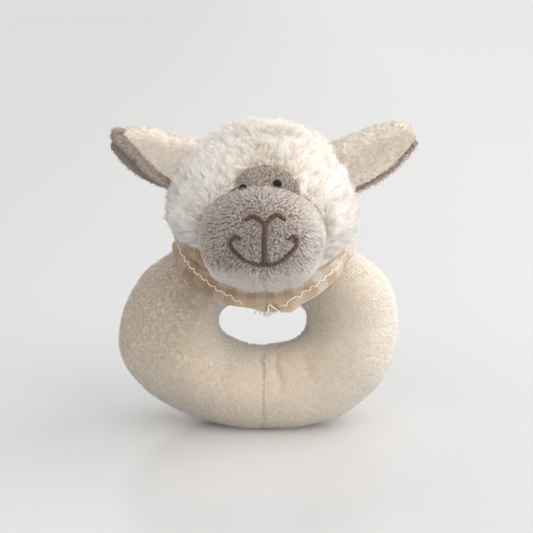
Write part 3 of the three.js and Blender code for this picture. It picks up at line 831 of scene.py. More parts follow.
def cup_directions(axis, across, widest_degrees, rings, columns):
    """Directions that open out from an axis, ring by ring."""
    axis = np.array(axis, float)
    across = np.array(across, float)
    tilt = np.radians(np.linspace(0, widest_degrees, rings))[:, None, None]
    turn = (np.arange(columns) / columns * ROUND)[None, :, None]
    around = across * np.cos(turn) + np.cross(axis, across) * np.sin(turn)
    return axis * np.cos(tilt) + around * np.sin(tilt)


# The forehead panel: an arch between the fleece and the muzzle
FOREHEAD_X = 1.2
FOREHEAD_HALF = 14.7
FOREHEAD_TOP = HEAD_CENTRE[2] + HEAD.rise - 14
FOREHEAD_BASE = MUZZLE_CENTRE[2] + MUZZLE.rise - 10.5
FOREHEAD_SPRING = FOREHEAD_TOP - FOREHEAD_HALF
FOREHEAD_STEPS = 30


def arch_gap(points):
    """Distance outside the forehead's arch, seen from the front. Below 0 it is inside."""
    x = points[:, 0] - FOREHEAD_X
    z = points[:, 2]
    over = np.hypot(x, z - FOREHEAD_SPRING) - FOREHEAD_HALF
    beside = np.abs(x) - FOREHEAD_HALF
    gap = np.where(z > FOREHEAD_SPRING, over, beside)
    return np.where(points[:, 1] < HEAD_CENTRE[1], gap, FAR)


FLEECE_INSET = 3.5
FLEECE_HEM = 90.5  # where the fleece ends above the neckerchief
HALF_GAP = 0.1  # between the head's middle and each half of its cover
FACE_MIDDLE = np.array([1.5, -38.0, 112.0])
CROWN_PARTING = np.array([4.0, -12.0, 140.0])


def fleece_hem(roots):
    """The fleece's lower edge, which dips beside the muzzle on the right."""
    return FLEECE_HEM - 5.0 * bell(roots[:, 0], 31, 9) * (roots[:, 1] < -10)


def fleece_keep(roots):
    under_muzzle = MUZZLE.outside(roots, -0.6) < 1
    on_forehead = arch_gap(roots) < 0.3
    below_hem = roots[:, 2] < fleece_hem(roots) - 1.0
    return np.where(under_muzzle | on_forehead | below_hem, 0.0, 1.0)


def fleece_comb(roots, normals):
    """The way the tufts lie: up, away from the face and from the crown's parting."""
    crown = ease(roots[:, 2], 118, 138)[:, None]
    near_hem = 1 - ease(roots[:, 2] - fleece_hem(roots), 0, 10)[:, None]
    rim = 1 - ease(arch_gap(roots), 0.5, 4)[:, None]
    over_muzzle = (1 - ease(muzzle_gap(roots), 0.5, 5)) * ease(roots[:, 2], 88, 96)
    inward = 0.35 * rim + 1.1 * over_muzzle[:, None]
    field = unit(roots - FACE_MIDDLE) * (0.6 - 0.2 * crown - inward)
    field = field + unit(roots - CROWN_PARTING) * 0.5 * crown
    field = field + UP * (0.75 - 0.6 * crown + 0.2 * near_hem - 0.3 * rim)
    return along_surface(field + (0.4 - 0.15 * crown) * swirl(roots, 12, 5), normals)


def fleece_half(side):
    """One half of the head's cover with its long curly pile."""
    name = side_name(side)
    directions = cup_directions((side, 0, 0), (0, 1, 0), 90, 34, 96)
    aside = np.array([side * HALF_GAP, 0, 0])
    outer = HEAD.at(directions, FLEECE_INSET) + aside
    inner = HEAD.at(directions, FLEECE_INSET + COVER_WALL) + aside
    cover = shell(f"head_fleece_backing_{name}", outer, inner, fleece_backing)
    put_on(cover, "head", f"head_fleece_{name}")

    rng = np.random.default_rng(SEED + 40 + side)
    roots, normals = Skin(outer, True, HEAD_CENTRE).scatter(5.2, rng, fleece_keep)
    comb = fleece_comb(roots, normals)
    near_face = 1 - ease(np.minimum(arch_gap(roots), muzzle_gap(roots)), 0, 6)
    near_hem = 1 - ease(roots[:, 2] - fleece_hem(roots), 0, 8)
    bushy = 1 + 0.35 * swirl(roots, 6, 9)[:, 0]
    length = rng.uniform(5.0, 7.6, len(roots)) * (1 - 0.2 * near_face) * (1 - 0.3 * near_hem) * bushy
    paths, across = strand_paths(roots, normals, comb, length, (12, 62), 4, rng, 0.5, curl=0.5, turns=0.7)
    # Painted light and shade: paler to the left and low on the left, darker in the crown's parting and on
    # top.
    x, y, height = roots.T
    in_front = ease(-y, -5, 5)
    parting = bell(x, 5, 10) * ease(height, 110, 126) * in_front
    low_left = ease(-x, 14, 28) * (1 - ease(height, 94, 108)) * in_front
    on_top = ease(height, 118, 130) * in_front
    to_left = ease(-x, 0, 22)
    pile(
        f"head_fleece_curls_{name}", "head", "fleece", fleece_pile, paths, across, normals, rng, (0.28, 0.44),
        tuft=26, pull=0.66, uneven=0.3, power=1.2, loose=0.3, grain=0.16,
        painted_light=0.3 * to_left - 0.4 * parting - 0.5 * on_top + 0.6 * low_left,
        pieces=4, order=1, soften=0.85, taper=1.8, casts_shadow=False,
    )


fleece_half(-1)
fleece_half(1)


def forehead():
    z = np.linspace(FOREHEAD_BASE, FOREHEAD_TOP, FOREHEAD_STEPS)[:, None]
    above = np.clip(z - FOREHEAD_SPRING, 0, FOREHEAD_HALF)
    half = np.sqrt(np.maximum(FOREHEAD_HALF**2 - above**2, 0.3)) + 0.8
    x = FOREHEAD_X + half * np.linspace(-1, 1, FOREHEAD_STEPS)
    outer, inner = (HEAD.front(x, z - HEAD_CENTRE[2], inset) for inset in (2.3, 2.9))
    panel = thick_sheet("forehead_plush", outer, inner, False, face_backing)
    put_on(panel, "head", "forehead_panel")

    def keep(roots):
        return np.where(MUZZLE.outside(roots, -0.4) < 1, 0.0, 1.0)

    def comb(roots):
        return np.array([0.3, 0, 1.0]) + 0.7 * swirl(roots, 11, 8)

    plant(
        "forehead_pile", "head", "face_plush", brow_pile, Skin(outer, False, HEAD_CENTRE), 7.5, 60, comb,
        (1.5, 2.4), (0.24, 0.36), keep=keep, sections=2, jitter=0.5, pull=0.6, uneven=0.16,
    )


forehead()


# Muzzle, and the embroidered lines in its pile, as (x, height above its middle) seen from the front
NOSE_LINE = [(-6.9, 11.2), (-4.2, 12.9), (-1.2, 12), (1.2, 10), (3.6, 12.3), (6.5, 13.1), (9.3, 11.2)]
STEM_LINE = [(1.2, 9.8), (0.9, 2), (0.7, -5.2)]
SMILE_LINE = [
    (-9, 4.2), (-10.8, 5), (-13, 1.8), (-11, -1.4), (-7.6, -4.2), (-3.3, -6), (1, -6.6),
    (5.9, -5.8), (10.2, -3.1), (13.4, 0.2), (14, 3), (12.4, 4.7), (10.8, 3.6),
]
ALL_LINES = np.concatenate([resampled(line, 60) for line in (NOSE_LINE, STEM_LINE, SMILE_LINE)])
MUZZLE_INSET = 1.5
CHIN_X = 0.8
THREAD_HALF = 0.7
STITCH = 0.27  # a stitch's own radius


def line_gap(points):
    """How far points on the muzzle's front are from the nearest embroidered line, and in which direction."""
    flat = points[:, [0, 2]] - np.array([0, MUZZLE_CENTRE[2]])
    nearest, gap = nearest_on(ALL_LINES, flat)
    away = unit(flat - ALL_LINES[nearest])
    return np.where(points[:, 1] < MUZZLE_CENTRE[1] - 5, gap, FAR), xyz(away[:, 0], 0.0, away[:, 1])


def chin_share(roots):
    return ease(-roots[:, 2], -94, -84) * ease(-roots[:, 1], 40, 46)


def muzzle():
    directions = cup_directions((0, -1, 0), (1, 0, 0), 112, 60, 120)
    outer = MUZZLE.at(directions, MUZZLE_INSET)
    flat = outer.reshape(-1, 3)
    gap, _ = line_gap(flat)
    outward = unit((flat - MUZZLE_CENTRE) / np.array([MUZZLE.wide, MUZZLE.deep, MUZZLE.drop]) ** 2)
    chin = 0.9 * bell(flat[:, 0], CHIN_X, 1.1) * ease(-flat[:, 2], -86, -80) * ease(-flat[:, 1], 34, 38)
    cheek = 1.5 * bell(np.abs(flat[:, 0]), 19, 7) * bell(flat[:, 2], MUZZLE_CENTRE[2] - 13, 7)
    pressed_in = 0.35 * bell(gap, 0, 1.6) + chin - cheek
    outer = (flat - outward * pressed_in[:, None]).reshape(outer.shape)
    inner = MUZZLE.at(directions, MUZZLE_INSET + COVER_WALL + 0.6)
    put_on(shell("muzzle_plush", outer, inner, face_backing), "head", "muzzle_cover")

    def keep(roots):
        return np.where(line_gap(roots)[0] < THREAD_HALF, 0.0, 1.0)

    def comb(roots):
        gap, away = line_gap(roots)
        chin = chin_share(roots)[:, None]
        apart = xyz(np.tanh((roots[:, 0] - CHIN_X) / 2.0), 0.0, 0.0)
        bridge = MUZZLE_CENTRE + np.array([CHIN_X, -21, 15])
        base = unit(roots - bridge) - 0.25 * UP + apart * (0.15 + 0.9 * chin)
        return base + 0.5 * swirl(roots, 11, 15) + away * (1.3 * bell(gap, 0, 1.5))[:, None]

    def long_of(roots):
        gap, _ = line_gap(roots)
        rim = ease(roots[:, 2], MUZZLE_CENTRE[2] + 13, MUZZLE_CENTRE[2] + 20)
        return (1 + 0.9 * chin_share(roots) + 0.35 * rim) * mix(0.6, 1.0, ease(gap, 0.9, 2.4))

    # Painted light and shade: paler low down and to the right, where the light falls; darker at the top rim,
    # under the brow, in the chin's parting and on the shaded left.
    def painted_light_at(roots):
        x, _, up = (roots - MUZZLE_CENTRE).T
        brow = bell(x, -8, 11) * bell(up, 7, 9)
        low = ease(-up, 4, 17)
        beside = ease(x, 9, 24) + 0.1 * ease(-x, 16, 25)
        rim = ease(up, 14, 20)
        parting = bell(x, CHIN_X, 1.3) * chin_share(roots)
        shaded = ease(-x, 6, 16) * ease(up, -14, -4)
        return 1.35 * low + 0.6 * beside - 0.35 * rim - 0.25 * brow - 0.5 * parting - 0.4 * shaded - 0.42

    plant(
        "muzzle_pile", "head", "face_plush", face_pile, Skin(outer, True, MUZZLE_CENTRE), 8.2, 80, comb,
        (1.9, 2.8), (0.21, 0.31), keep=keep, sections=2, pieces=3, order=0, long_of=long_of,
        painted_light_at=painted_light_at, uneven=0.2, pull=0.75, tuft=6,
    )


muzzle()


def stitched(name, lines, node):
    """Satin stitches laid side by side across lines on the muzzle, over a padded core."""
    spacing, slant = 0.5, 0.55
    bend = np.linspace(-1, 1, 7)
    rise = 0.7 * np.sqrt(np.clip(1 - (bend * 0.97) ** 2, 0, 1)) - 0.2
    paths = []
    for line in lines:
        count = int(run_along(resampled(line, 60))[-1] / spacing)
        at = resampled(line, count)
        ahead = unit(np.gradient(at, axis=0))
        across = np.stack([ahead[:, 1], -ahead[:, 0]], axis=-1)
        rng = np.random.default_rng(SEED + 90 + count)
        half = THREAD_HALF * rng.uniform(0.92, 1.08, count)[:, None]
        flat = at[:, None] + bend[:, None] * (across * half + ahead * slant)[:, None]
        base = MUZZLE.front(flat[..., 0], flat[..., 1], 0.55)
        paths.append(base + unit(base - MUZZLE_CENTRE) * rise[:, None])
    paths = np.concatenate(paths)
    points, faces = tubes(paths, STITCH, 6)
    made = new_object(name, points, faces, brown_thread)
    every_other = np.arange(len(paths)) // 2 % 2
    shades = 0.4 * every_other + np.random.default_rng(SEED + 95).uniform(0, 0.25, len(paths))
    write_values(made, tint=np.repeat(shades, len(points) // len(paths)))
    put_on(made, "head", node)


stitched("nose_stitches", [NOSE_LINE, STEM_LINE], "nose_embroidery")
stitched("smile_stitches", [SMILE_LINE], "smile_embroidery")


def eye(name, shift, radius):
    """Satin stitches side by side over a small padded dome, clear of the muzzle."""
    low, high = span(name)
    centre = np.array([(low[0] + high[0]) / 2 + shift, 0, high[2] - 2.1])
    share = (centre[0] / HEAD.wide) ** 2 + ((centre[2] - HEAD_CENTRE[2]) / HEAD.rise) ** 2
    centre[1] = HEAD_CENTRE[1] - (HEAD.deep - 2.2) * math.sqrt(1 - share)
    facing = unit((centre - HEAD_CENTRE) / np.array([HEAD.wide, HEAD.deep, HEAD.rise]) ** 2)
    across = unit(np.cross(UP, facing))
    up = np.cross(facing, across)
    t = np.linspace(-1, 1, 9)[:, None]
    paths = []
    for offset in np.linspace(-0.9, 0.9, 7):
        half = radius * math.sqrt(1 - offset**2)
        dome = 0.9 * np.sqrt(np.clip(1 - (t * half / radius) ** 2 - offset**2, 0, 1)) + 0.7
        paths.append(centre + across * offset * radius + up * t * half + facing * dome)
    made = new_object(f"{name}_stitches", *tubes(np.array(paths), STITCH, 8), black_thread)
    put_on(made, "head", name)


eye("eye_left", 0.4, 1.6)
eye("eye_right", -0.3, 1.7)


# Ears
EAR_TILT = math.radians(28.5)
EAR_LAYER = 1.5
EAR_PILE_ROOM = 0.7
EAR_LINING_GAP = 0.5
EAR_FOLD_RADIUS = 4.2
EAR_TIP_DROP = 7.0
EAR_ROOT_DEPTH = 2.0
EAR_ROOT_TURN = math.radians(47.7)
EAR_ROOT_BACK = 2.0
EAR_STEPS = 72  # from the front edge over the fold to the back
EAR_STATIONS = 60  # from root to tip
ROLL_SIDES = 14
# front and back: how far the leaf reaches from its fold, its taper, its bluntness, and how much it is widened
LEFT_EAR = dict(
    side=-1, length=37.5, lift=1.1, front=(20.5, 1.5, 1.0, -1.3), back=(24.4, 2.4, 0.6, 0.3),
    fold_drop=0.246, roll=2.4, shorter=2.9,
)
RIGHT_EAR = dict(
    side=1, length=41.0, lift=-1.1, front=(22.5, 2.5, 0.6, -2.2), back=(24.5, 2.6, 0.6, 0.2),
    fold_drop=0.12, roll=0.6, shorter=3.4,
)


def ear_axes(side):
    """The directions along the ear, and down from its fold."""
    along = np.array([side * math.cos(EAR_TILT), 0, math.sin(EAR_TILT)])
    return along, np.array([side * math.sin(EAR_TILT), 0, -math.cos(EAR_TILT)])


def ear_grid(ear, offset, widened=1):
    """One surface of the folded leaf, from root to tip and from the front edge over the fold to the back."""
    side = ear["side"]
    along_axis, down_axis = ear_axes(side)
    root_height = HEAD_CENTRE[2] + HEAD.rise * math.sin(EAR_ROOT_TURN) + ear["lift"]
    root = np.array([side * HEAD.wide * math.cos(EAR_ROOT_TURN), HEAD_CENTRE[1] + EAR_ROOT_BACK, root_height])
    extra = EAR_FOLD_RADIUS * (math.pi / 2 - 1)
    crown = EAR_FOLD_RADIUS * math.pi / 2
    whole = ear["length"] + EAR_ROOT_DEPTH - ear["shorter"]  # room for the pile at the tip
    along = np.sin(np.linspace(0, 1, EAR_STATIONS) * math.pi / 2) * 0.985 * whole - EAR_ROOT_DEPTH
    reach = np.maximum(0, along) / ear["length"]
    not_tip = np.minimum(1, (1 - reach) * 12)  # the tip isn't widened

    def edge(size, taper, blunt, widening):
        return size * (1 - reach**taper) ** blunt * (1 + extra / size) + widened * widening * not_tip

    front = edge(*ear["front"])[:, None]
    back = edge(*ear["back"])[:, None]
    fold = ear["fold_drop"] * np.maximum(0, along) + EAR_TIP_DROP * reach**6
    share = np.linspace(1, -1, EAR_STEPS)
    arc = share * np.where(share > 0, front, back)
    run = np.abs(arc)
    turn = np.minimum(run, crown) / EAR_FOLD_RADIUS
    radius = EAR_FOLD_RADIUS + offset
    ahead = np.sign(arc) * np.where(run < crown, radius * np.sin(turn), radius)
    down = np.where(run < crown, EAR_FOLD_RADIUS - radius * np.cos(turn), EAR_FOLD_RADIUS + run - crown)
    down = down + fold[:, None]
    forward = np.array([0, -1.0, 0])
    return root + along[:, None, None] * along_axis + ahead[..., None] * forward + down[..., None] * down_axis


def ear_roll(values):
    """The lining's front edge, rolled out past the cream leaf: its path, radius and way out of the leaf."""
    grid = ear_grid(values, -0.4, widened=0)
    edge = grid[:, 0]
    beyond = unit(edge - grid[:, 1])
    taper = np.sin(mix(0.12, 0.86, np.linspace(0, 1, len(edge))) * math.pi) ** 0.4
    radius = values["roll"] * taper
    path = edge + beyond * (radius * 0.45)[:, None]
    if values["side"] < 0:  # it goes on round the tip
        over_tip = resampled([(0, 0, 0), (-0.3, -0.5, 1.2), (1.6, -0.6, 2.3), (4.2, -0.2, 2.0)], 8)[1:]
        path = np.concatenate([path, path[-1] + over_tip])
        beyond = np.concatenate([beyond, np.repeat(beyond[-1:], len(over_tip), axis=0)])
        radius = np.concatenate([radius, radius[-1] * np.linspace(1.0, 0.55, len(over_tip))])
    return path, radius, beyond


def ear(values):
    """One ear: the cream leaf, its lining with the rolled edge, and their pile."""
    side = values["side"]
    on_left = side < 0
    name = side_name(side)
    body = f"ear_{name}"
    lining_back = EAR_LINING_GAP + EAR_LAYER - EAR_PILE_ROOM
    outer, between = (ear_grid(values, offset) for offset in (EAR_LAYER - EAR_PILE_ROOM, 0.0))
    lining_top, lining_low = (ear_grid(values, -offset) for offset in (EAR_LINING_GAP, lining_back))
    leaf = thick_sheet(f"ear_plush_{name}", outer, between, False, ear_backing)
    put_on(leaf, body, f"ear_{name}_outer")
    lining = thick_sheet(f"ear_lining_{name}", lining_top, lining_low, False, lining_backing)
    put_on(lining, body, f"ear_{name}_lining")
    along_axis, _ = ear_axes(side)
    path, radius, beyond = ear_roll(values)

    def comb(roots):
        return 0.5 * along_axis - 0.5 * UP + 0.8 * swirl(roots, 8, 31 + side)

    def across_roll(roots):
        """How far each root is across the roll: -1 by the cream leaf, 1 at the roll's outer side."""
        nearest, _ = nearest_on(path[:, [0, 2]], roots[:, [0, 2]])
        return np.sum((roots - path[nearest]) * beyond[nearest], axis=1) / radius[nearest]

    def pocket_shade(roots):
        """Dark in the fold beside the roll, and paler to the flap's outer edge."""
        return 0.8 * ease(across_roll(roots), 1.7, 3.2) - 0.65 * on_left

    def cream_shade(roots):
        return np.full(len(roots), 0.0 if on_left else -0.25)

    def roll_shade(roots):
        return (0.75 * bell(across_roll(roots), 0.25, 0.45) - 0.5) * on_left

    pull, uneven = (0.45, 0.12) if on_left else (0.95, 0.25)
    for label, grid, other, material, slot, shade, casts_shadow in (
        ("ear_pile", outer, between, ear_pile, "ear_plush", cream_shade, False),
        ("ear_lining_pile", lining_low, lining_top, lining_pile, "ear_lining", pocket_shade, on_left),
    ):
        plant(
            f"{label}_{name}", body, slot, material, Skin(grid, False, other.reshape(-1, 3)), 6.8, 120 + side,
            comb, (1.4, 2.2), (0.25, 0.37), pull=pull, tuft=6, uneven=uneven, painted_light_at=shade,
            casts_shadow=casts_shadow,
        )

    points, faces = tubes(path[None], radius[None], ROLL_SIDES)
    put_on(new_object(f"ear_roll_{name}", points, faces, lining_backing), body)
    skin = Skin(points.reshape(len(path), ROLL_SIDES, 3), True, np.repeat(path, ROLL_SIDES, axis=0))
    plant(
        f"ear_roll_pile_{name}", body, "ear_lining", lining_pile if on_left else thin_rim_pile, skin, 6.5,
        130 + side, comb, (1.1, 1.8), (0.24, 0.36), pull=0.5, uneven=0.12, painted_light_at=roll_shade,
        casts_shadow=on_left,
    )


ear(LEFT_EAR)
ear(RIGHT_EAR)


# Neckerchief
SCARF_HEAD_GAP = 0.5
SCARF_THICKNESS = 0.5
SCARF_FRONT_DOWN = 57.2
SCARF_SIDE_DOWN = 24.8
SCARF_FALL = (10.8, 2.7, 8.5)  # front, side, back
SCARF_FLARE = (5.5, 2.1, 1.3)
SCARF_CHECK_SPAN = 30.8  # millimetres of cloth for a radian of turn at the front
SCARF_TUCK_DOWN = 18.0  # the cloth goes up under the fleece to this angle below the head's middle
SCARF_COLUMNS = 540
SCARF_ROWS = 60
SCARF_WIDTH_ROW = 40  # two thirds of the way down, where its width is measured
CHECK = 4.7
YARN = 0.6
# Read from the photograph as (turn in degrees, share of the drop)
SCARF_HEM = [
    (-180, 1.0), (-110, 1.0), (-84, 0.8), (-67, 0.8), (-53, 0.95), (-34, 0.93), (-18, 0.85), (-7, 0.87),
    (6, 0.97), (14, 1.02), (23, 1.12), (32, 1.05), (49, 0.9), (67, 0.98), (81, 0.85), (110, 1.0), (180, 1.0),
]
SCARF_THREADS = [
    [
        (-98, -0.6), (-84, -0.05), (-71, 0.13), (-60, 0.25), (-50, 0.36),
        (-43, 0.43), (-35, 0.49), (-27, 0.54), (-22, 0.63), (-17, 0.69),
    ],
    [
        (98, -0.6), (84, 0.0), (72, 0.21), (64, 0.3), (56, 0.36), (48, 0.42),
        (42, 0.47), (34.5, 0.54), (31, 0.62), (25, 0.57), (21.5, 0.69), (15, 0.8),
    ],
]
THREAD_KEYS = np.array(sorted(SCARF_THREADS[0] + SCARF_THREADS[1]))


def scarf_degrees(turn):
    """The turn from the front, from -180 to 180 degrees."""
    return np.degrees((turn + math.pi) % ROUND - math.pi)


def scarf_hem(turn):
    return np.interp(scarf_degrees(turn), *np.array(SCARF_HEM).T)


def scarf_thread_share(degrees):
    """Where the hem's seam runs. Away from the two threads it stays out of the cloth."""
    return np.where(np.abs(degrees) > 98, 9.0, np.interp(degrees, *THREAD_KEYS.T))


def cloth_point(turn, share, offset):
    """The neckerchief as worn. Below a share of 0 it goes up under the fleece and beside the muzzle."""
    turn, share = np.broadcast_arrays(np.asarray(turn, float), np.asarray(share, float))
    degrees = scarf_degrees(turn)
    off_front = np.abs(degrees)
    below = np.maximum(share, 0)
    to_side = np.minimum(1, 1 - np.cos(turn))
    to_back = np.maximum(0, -np.cos(turn)) ** 2
    front = 1 - ease(np.abs(degrees - 6), 26, 40)
    beside = ease(off_front, 26, 42)

    def all_round(at_front, at_side, at_back):
        return mix(mix(at_front, at_side, to_side), at_back, to_back)

    start = mix(SCARF_FRONT_DOWN, SCARF_SIDE_DOWN, to_side)
    down = np.radians(mix(start, np.minimum(start, SCARF_TUCK_DOWN), np.clip(-share, 0, 1) * beside))
    seam = scarf_thread_share(degrees)
    out = SCARF_HEAD_GAP + offset + all_round(*SCARF_FLARE) * below
    out = out + 0.5 * below * np.sin(9 * turn) + 0.3 * below * np.sin(17 * turn + 1.3)  # ripples
    out = out + 1.2 * np.sin(np.clip(below, 0, 1) * math.pi)  # the band's swell
    out = out - 1.2 * bell(share, 0.3 + 0.003 * off_front, 0.09) * front  # a crease in front
    out = out + 0.5 * bell(share, 0.62, 0.2) * front
    out = out + 1.3 * bell(degrees, 24, 6.5) * bell(share, 0.88, 0.24)  # the lobe beside the corner
    out = out - 1.1 * bell(degrees, 11 + 10 * (share - 0.8), 2.2) * ease(share, 0.45, 0.8)  # the pinch by it
    out = out + 0.35 * ease(share, seam - 0.03, seam + 0.05)  # the hem's turned edge
    # a fold on the left, and the swell beside it
    out = out - 1.7 * bell(degrees, -60 - 8 * share, 2.6) * (1 - ease(share, -0.12, 0.1))
    out = out + 0.8 * bell(degrees, -52 - 8 * share, 3.5) * (1 - ease(share, -0.1, 0.15))
    under_fleece = -5.0 * ease(-share, 0.3, 0.75) * bell(degrees, 48, 18)
    out = out + np.minimum(under_fleece, -5.0 * ease(-share, 0.78, 1.0) * beside)
    return xyz(
        (HEAD.wide * np.cos(down) + out) * np.sin(turn),
        HEAD_CENTRE[1] - (HEAD.deep * np.cos(down) + out) * np.cos(turn),
        HEAD_CENTRE[2] - HEAD.drop * np.sin(down) - all_round(*SCARF_FALL) * below,
    )


def gingham_finish():
    """Woven checks, worn and mottled, with painted shade to the left, in the head's shadow."""
    finish = Finish("gingham_weave", 0.85, 0.2)
    u = finish.read("cloth_u")
    v = finish.read("cloth_v")

    def band(value):
        return finish.spread(finish.calc("PINGPONG", value, CHECK), CHECK / 2 - 0.3, CHECK / 2 + 0.3)

    def yarn(value):
        return finish.calc("SINE", finish.calc("MULTIPLY", value, ROUND / YARN))

    low = finish.spread(finish.read("cloth_low"), 0.15, 0.7)
    contrast = finish.spread(low, 0, 1, 0.4, 0.15)
    checks = finish.calc("MULTIPLY", finish.calc("ADD", band(u), band(v)), contrast)
    shade = finish.calc("ADD", checks, finish.calc("MULTIPLY", low, 0.42))
    worn = finish.mottle(7.0, low=-0.08, high=0.08)
    mottled = finish.calc("ADD", finish.mottle(0.7, low=-0.14, high=0.14), worn)
    toned = finish.calc("ADD", shade, mottled, clamp=True)
    weave = finish.calc("MULTIPLY", yarn(u), yarn(v))
    thread = finish.spread(weave, -1, 1)
    light = finish.blend(thread, "#d8cab7", "#eee6da")
    dark = finish.blend(thread, "#ad8a63", "#c8aa86")
    # painted shade on the left, in the head's shadow
    shaded_left = finish.spread(finish.along("X"), -8 * MM, -26 * MM)
    finish.set("Base Color", finish.blend(shaded_left, finish.blend(toned, light, dark), "#cfc4b8", "MULTIPLY"))
    finish.bump(finish.calc("ADD", weave, finish.noise(0.3)), 0.12)
    finish.sheen(0.15, 0.5)
    return finish.material


gingham = gingham_finish()


def write_cloth_places(piece, **places):
    """Where each point of a thick sheet lies in its cloth, the same on both of its sides."""
    write_values(piece, **{key: np.tile(np.ravel(values), 2) for key, values in places.items()})


def cloth_band():
    """The folded band round the neck, with its width and height in millimetres."""
    turn = np.linspace(-math.pi, math.pi, SCARF_COLUMNS, endpoint=False)
    off_front = np.abs(np.degrees(turn))
    share = mix(-1.0, scarf_hem(turn), np.linspace(0, 1, SCARF_ROWS)[:, None])
    outer = cloth_point(turn, share, SCARF_THICKNESS)
    cloth = thick_sheet("neckerchief_cloth", outer, cloth_point(turn, share, 0.0), True, gingham)
    drop = run_along(outer)
    at_edge = np.array([np.interp(0.05, share[:, c], drop[:, c]) for c in range(SCARF_COLUMNS)])
    check_rows = [-13.2, -CHECK / 2, CHECK / 2, 1.5 * CHECK, 8.9]
    rows_at_front = np.interp(share, [-1, -0.1, 0.3, 0.95, 1.2], check_rows)
    write_cloth_places(
        cloth,
        cloth_u=np.broadcast_to(turn * SCARF_CHECK_SPAN + 1.0, share.shape) + 400 * CHECK,
        cloth_v=mix(rows_at_front, drop - at_edge - 1.2, ease(off_front, 20, 60)) + 400 * CHECK,
        cloth_low=share * (1 - ease(np.abs(np.degrees(turn) - 6), 26, 44)),
    )
    put_on(cloth, "head", "neckerchief")
    around = outer[SCARF_WIDTH_ROW]
    width = np.linalg.norm(np.diff(around, axis=0, append=around[:1]), axis=1).sum()
    return cloth, width, drop[-1].mean()


def hem_thread():
    """The white wavy stitching along the hem."""
    paths = []
    for line in SCARF_THREADS:
        fine = resampled([(degrees, 100 * share) for degrees, share in line], 900)
        gone = run_along(cloth_point(np.radians(fine[:, 0]), fine[:, 1] / 100, SCARF_THICKNESS))
        at = np.linspace(0, gone[-1], 150)
        degrees = np.interp(at, gone, fine[:, 0])
        share = np.interp(at, gone, fine[:, 1]) / 100
        wave = np.sin(at / 4.3 * ROUND) + 0.4 * np.sin(at / 2.6 * ROUND + 1)
        rise = 0.62 + 0.12 * np.cos(at / 2.15 * ROUND)
        paths.append(cloth_point(np.radians(degrees), share + 0.03 * wave, rise))
    return new_object("neckerchief_hem_thread", *tubes(np.array(paths), STITCH, 8), white_thread)


def cloth_corner():
    """The kerchief's corner, folded up in a small peak at the front, and its stitched edge."""
    peak = resampled([(5.0, 1.0), (4.6, 0.84), (5.4, 0.62), (8.0, 0.74), (12.0, 0.9), (16.0, 1.04)], 26)
    ridge = cloth_point(np.radians(peak[:, 0]), peak[:, 1], 1.7)
    foot = cloth_point(np.radians(mix(peak[:, 0], 9.5, 0.3)), mix(peak[:, 1], 0.96, 0.35), 0.45)
    upper = mix(ridge, foot, np.linspace(0, 1, 7)[:, None, None])
    facing = unit(np.array([0.2, -1, -0.25]))
    tip = thick_sheet("neckerchief_corner", upper, upper - facing * 0.4, False, gingham)
    write_cloth_places(tip, cloth_u=upper[..., 0] + 401 * CHECK, cloth_v=upper[..., 2] + 401 * CHECK)
    return [tip, new_object("neckerchief_corner_edge", *tubes(ridge[None], 0.3, 8), white_thread)]


def fraying():
    """Loose yarns under the front of the hem."""
    rng = np.random.default_rng(SEED + 170)
    t = np.linspace(0, 1, 7)[:, None]
    strands = []
    for _ in range(34):
        degrees = rng.uniform(-9, 11)
        root = cloth_point(math.radians(degrees), scarf_hem(math.radians(degrees)) - 0.05, 0.3)
        long = rng.uniform(1.6, 4.4) * (1 - abs(degrees - 1) / 22)
        lean = np.array([rng.normal(0, 0.55), rng.normal(-0.25, 0.3), -1.0])
        curl = np.array([rng.normal(0, 0.5), rng.normal(0, 0.4), 0.3]) * t**2
        strands.append(root + unit(lean) * long * t + curl)
    return new_object("neckerchief_fraying", *tubes(np.array(strands), 0.12, 5), frayed_yarn)


def neckerchief():
    cloth, width, height = cloth_band()
    extras = [hem_thread(), *cloth_corner(), fraying()]
    for piece in extras:
        put_on(piece, "head")


neckerchief()


# What the covers hold: fibre fill, the rattle capsule and its beads
FILL_INSET = 3.6
FILL_FLOOR_GAP = 2.2
POCKET_GAP = 0.5


def tufted(points, centre, depth, seed):
    """Pushes points in and out as loosely packed wads of fibre do."""
    wads = np.abs(swirl(points, 14, seed, 3)).sum(1)
    return points - unit(points - centre) * (depth * (1 - np.clip(wads, 0, 1)))[:, None]


def ring_fill():
    angles = np.linspace(0, ROUND, 210, endpoint=False)
    turns = np.linspace(0, ROUND, 60, endpoint=False)
    grid = ring_surface(angles, turns, FILL_INSET)
    points = tufted(grid.reshape(-1, 3), tube_middles(grid), 1.4, 51)
    points[:, 2] = np.maximum(points[:, 2], FILL_FLOOR_GAP)
    quads = grid_quads(len(angles) + 1, len(turns), True) % len(points)
    wad = new_object("ring_fibre_fill", points, facing_out(points, quads), fill)
    put_on(wad, "ring", "ring_stuffing")


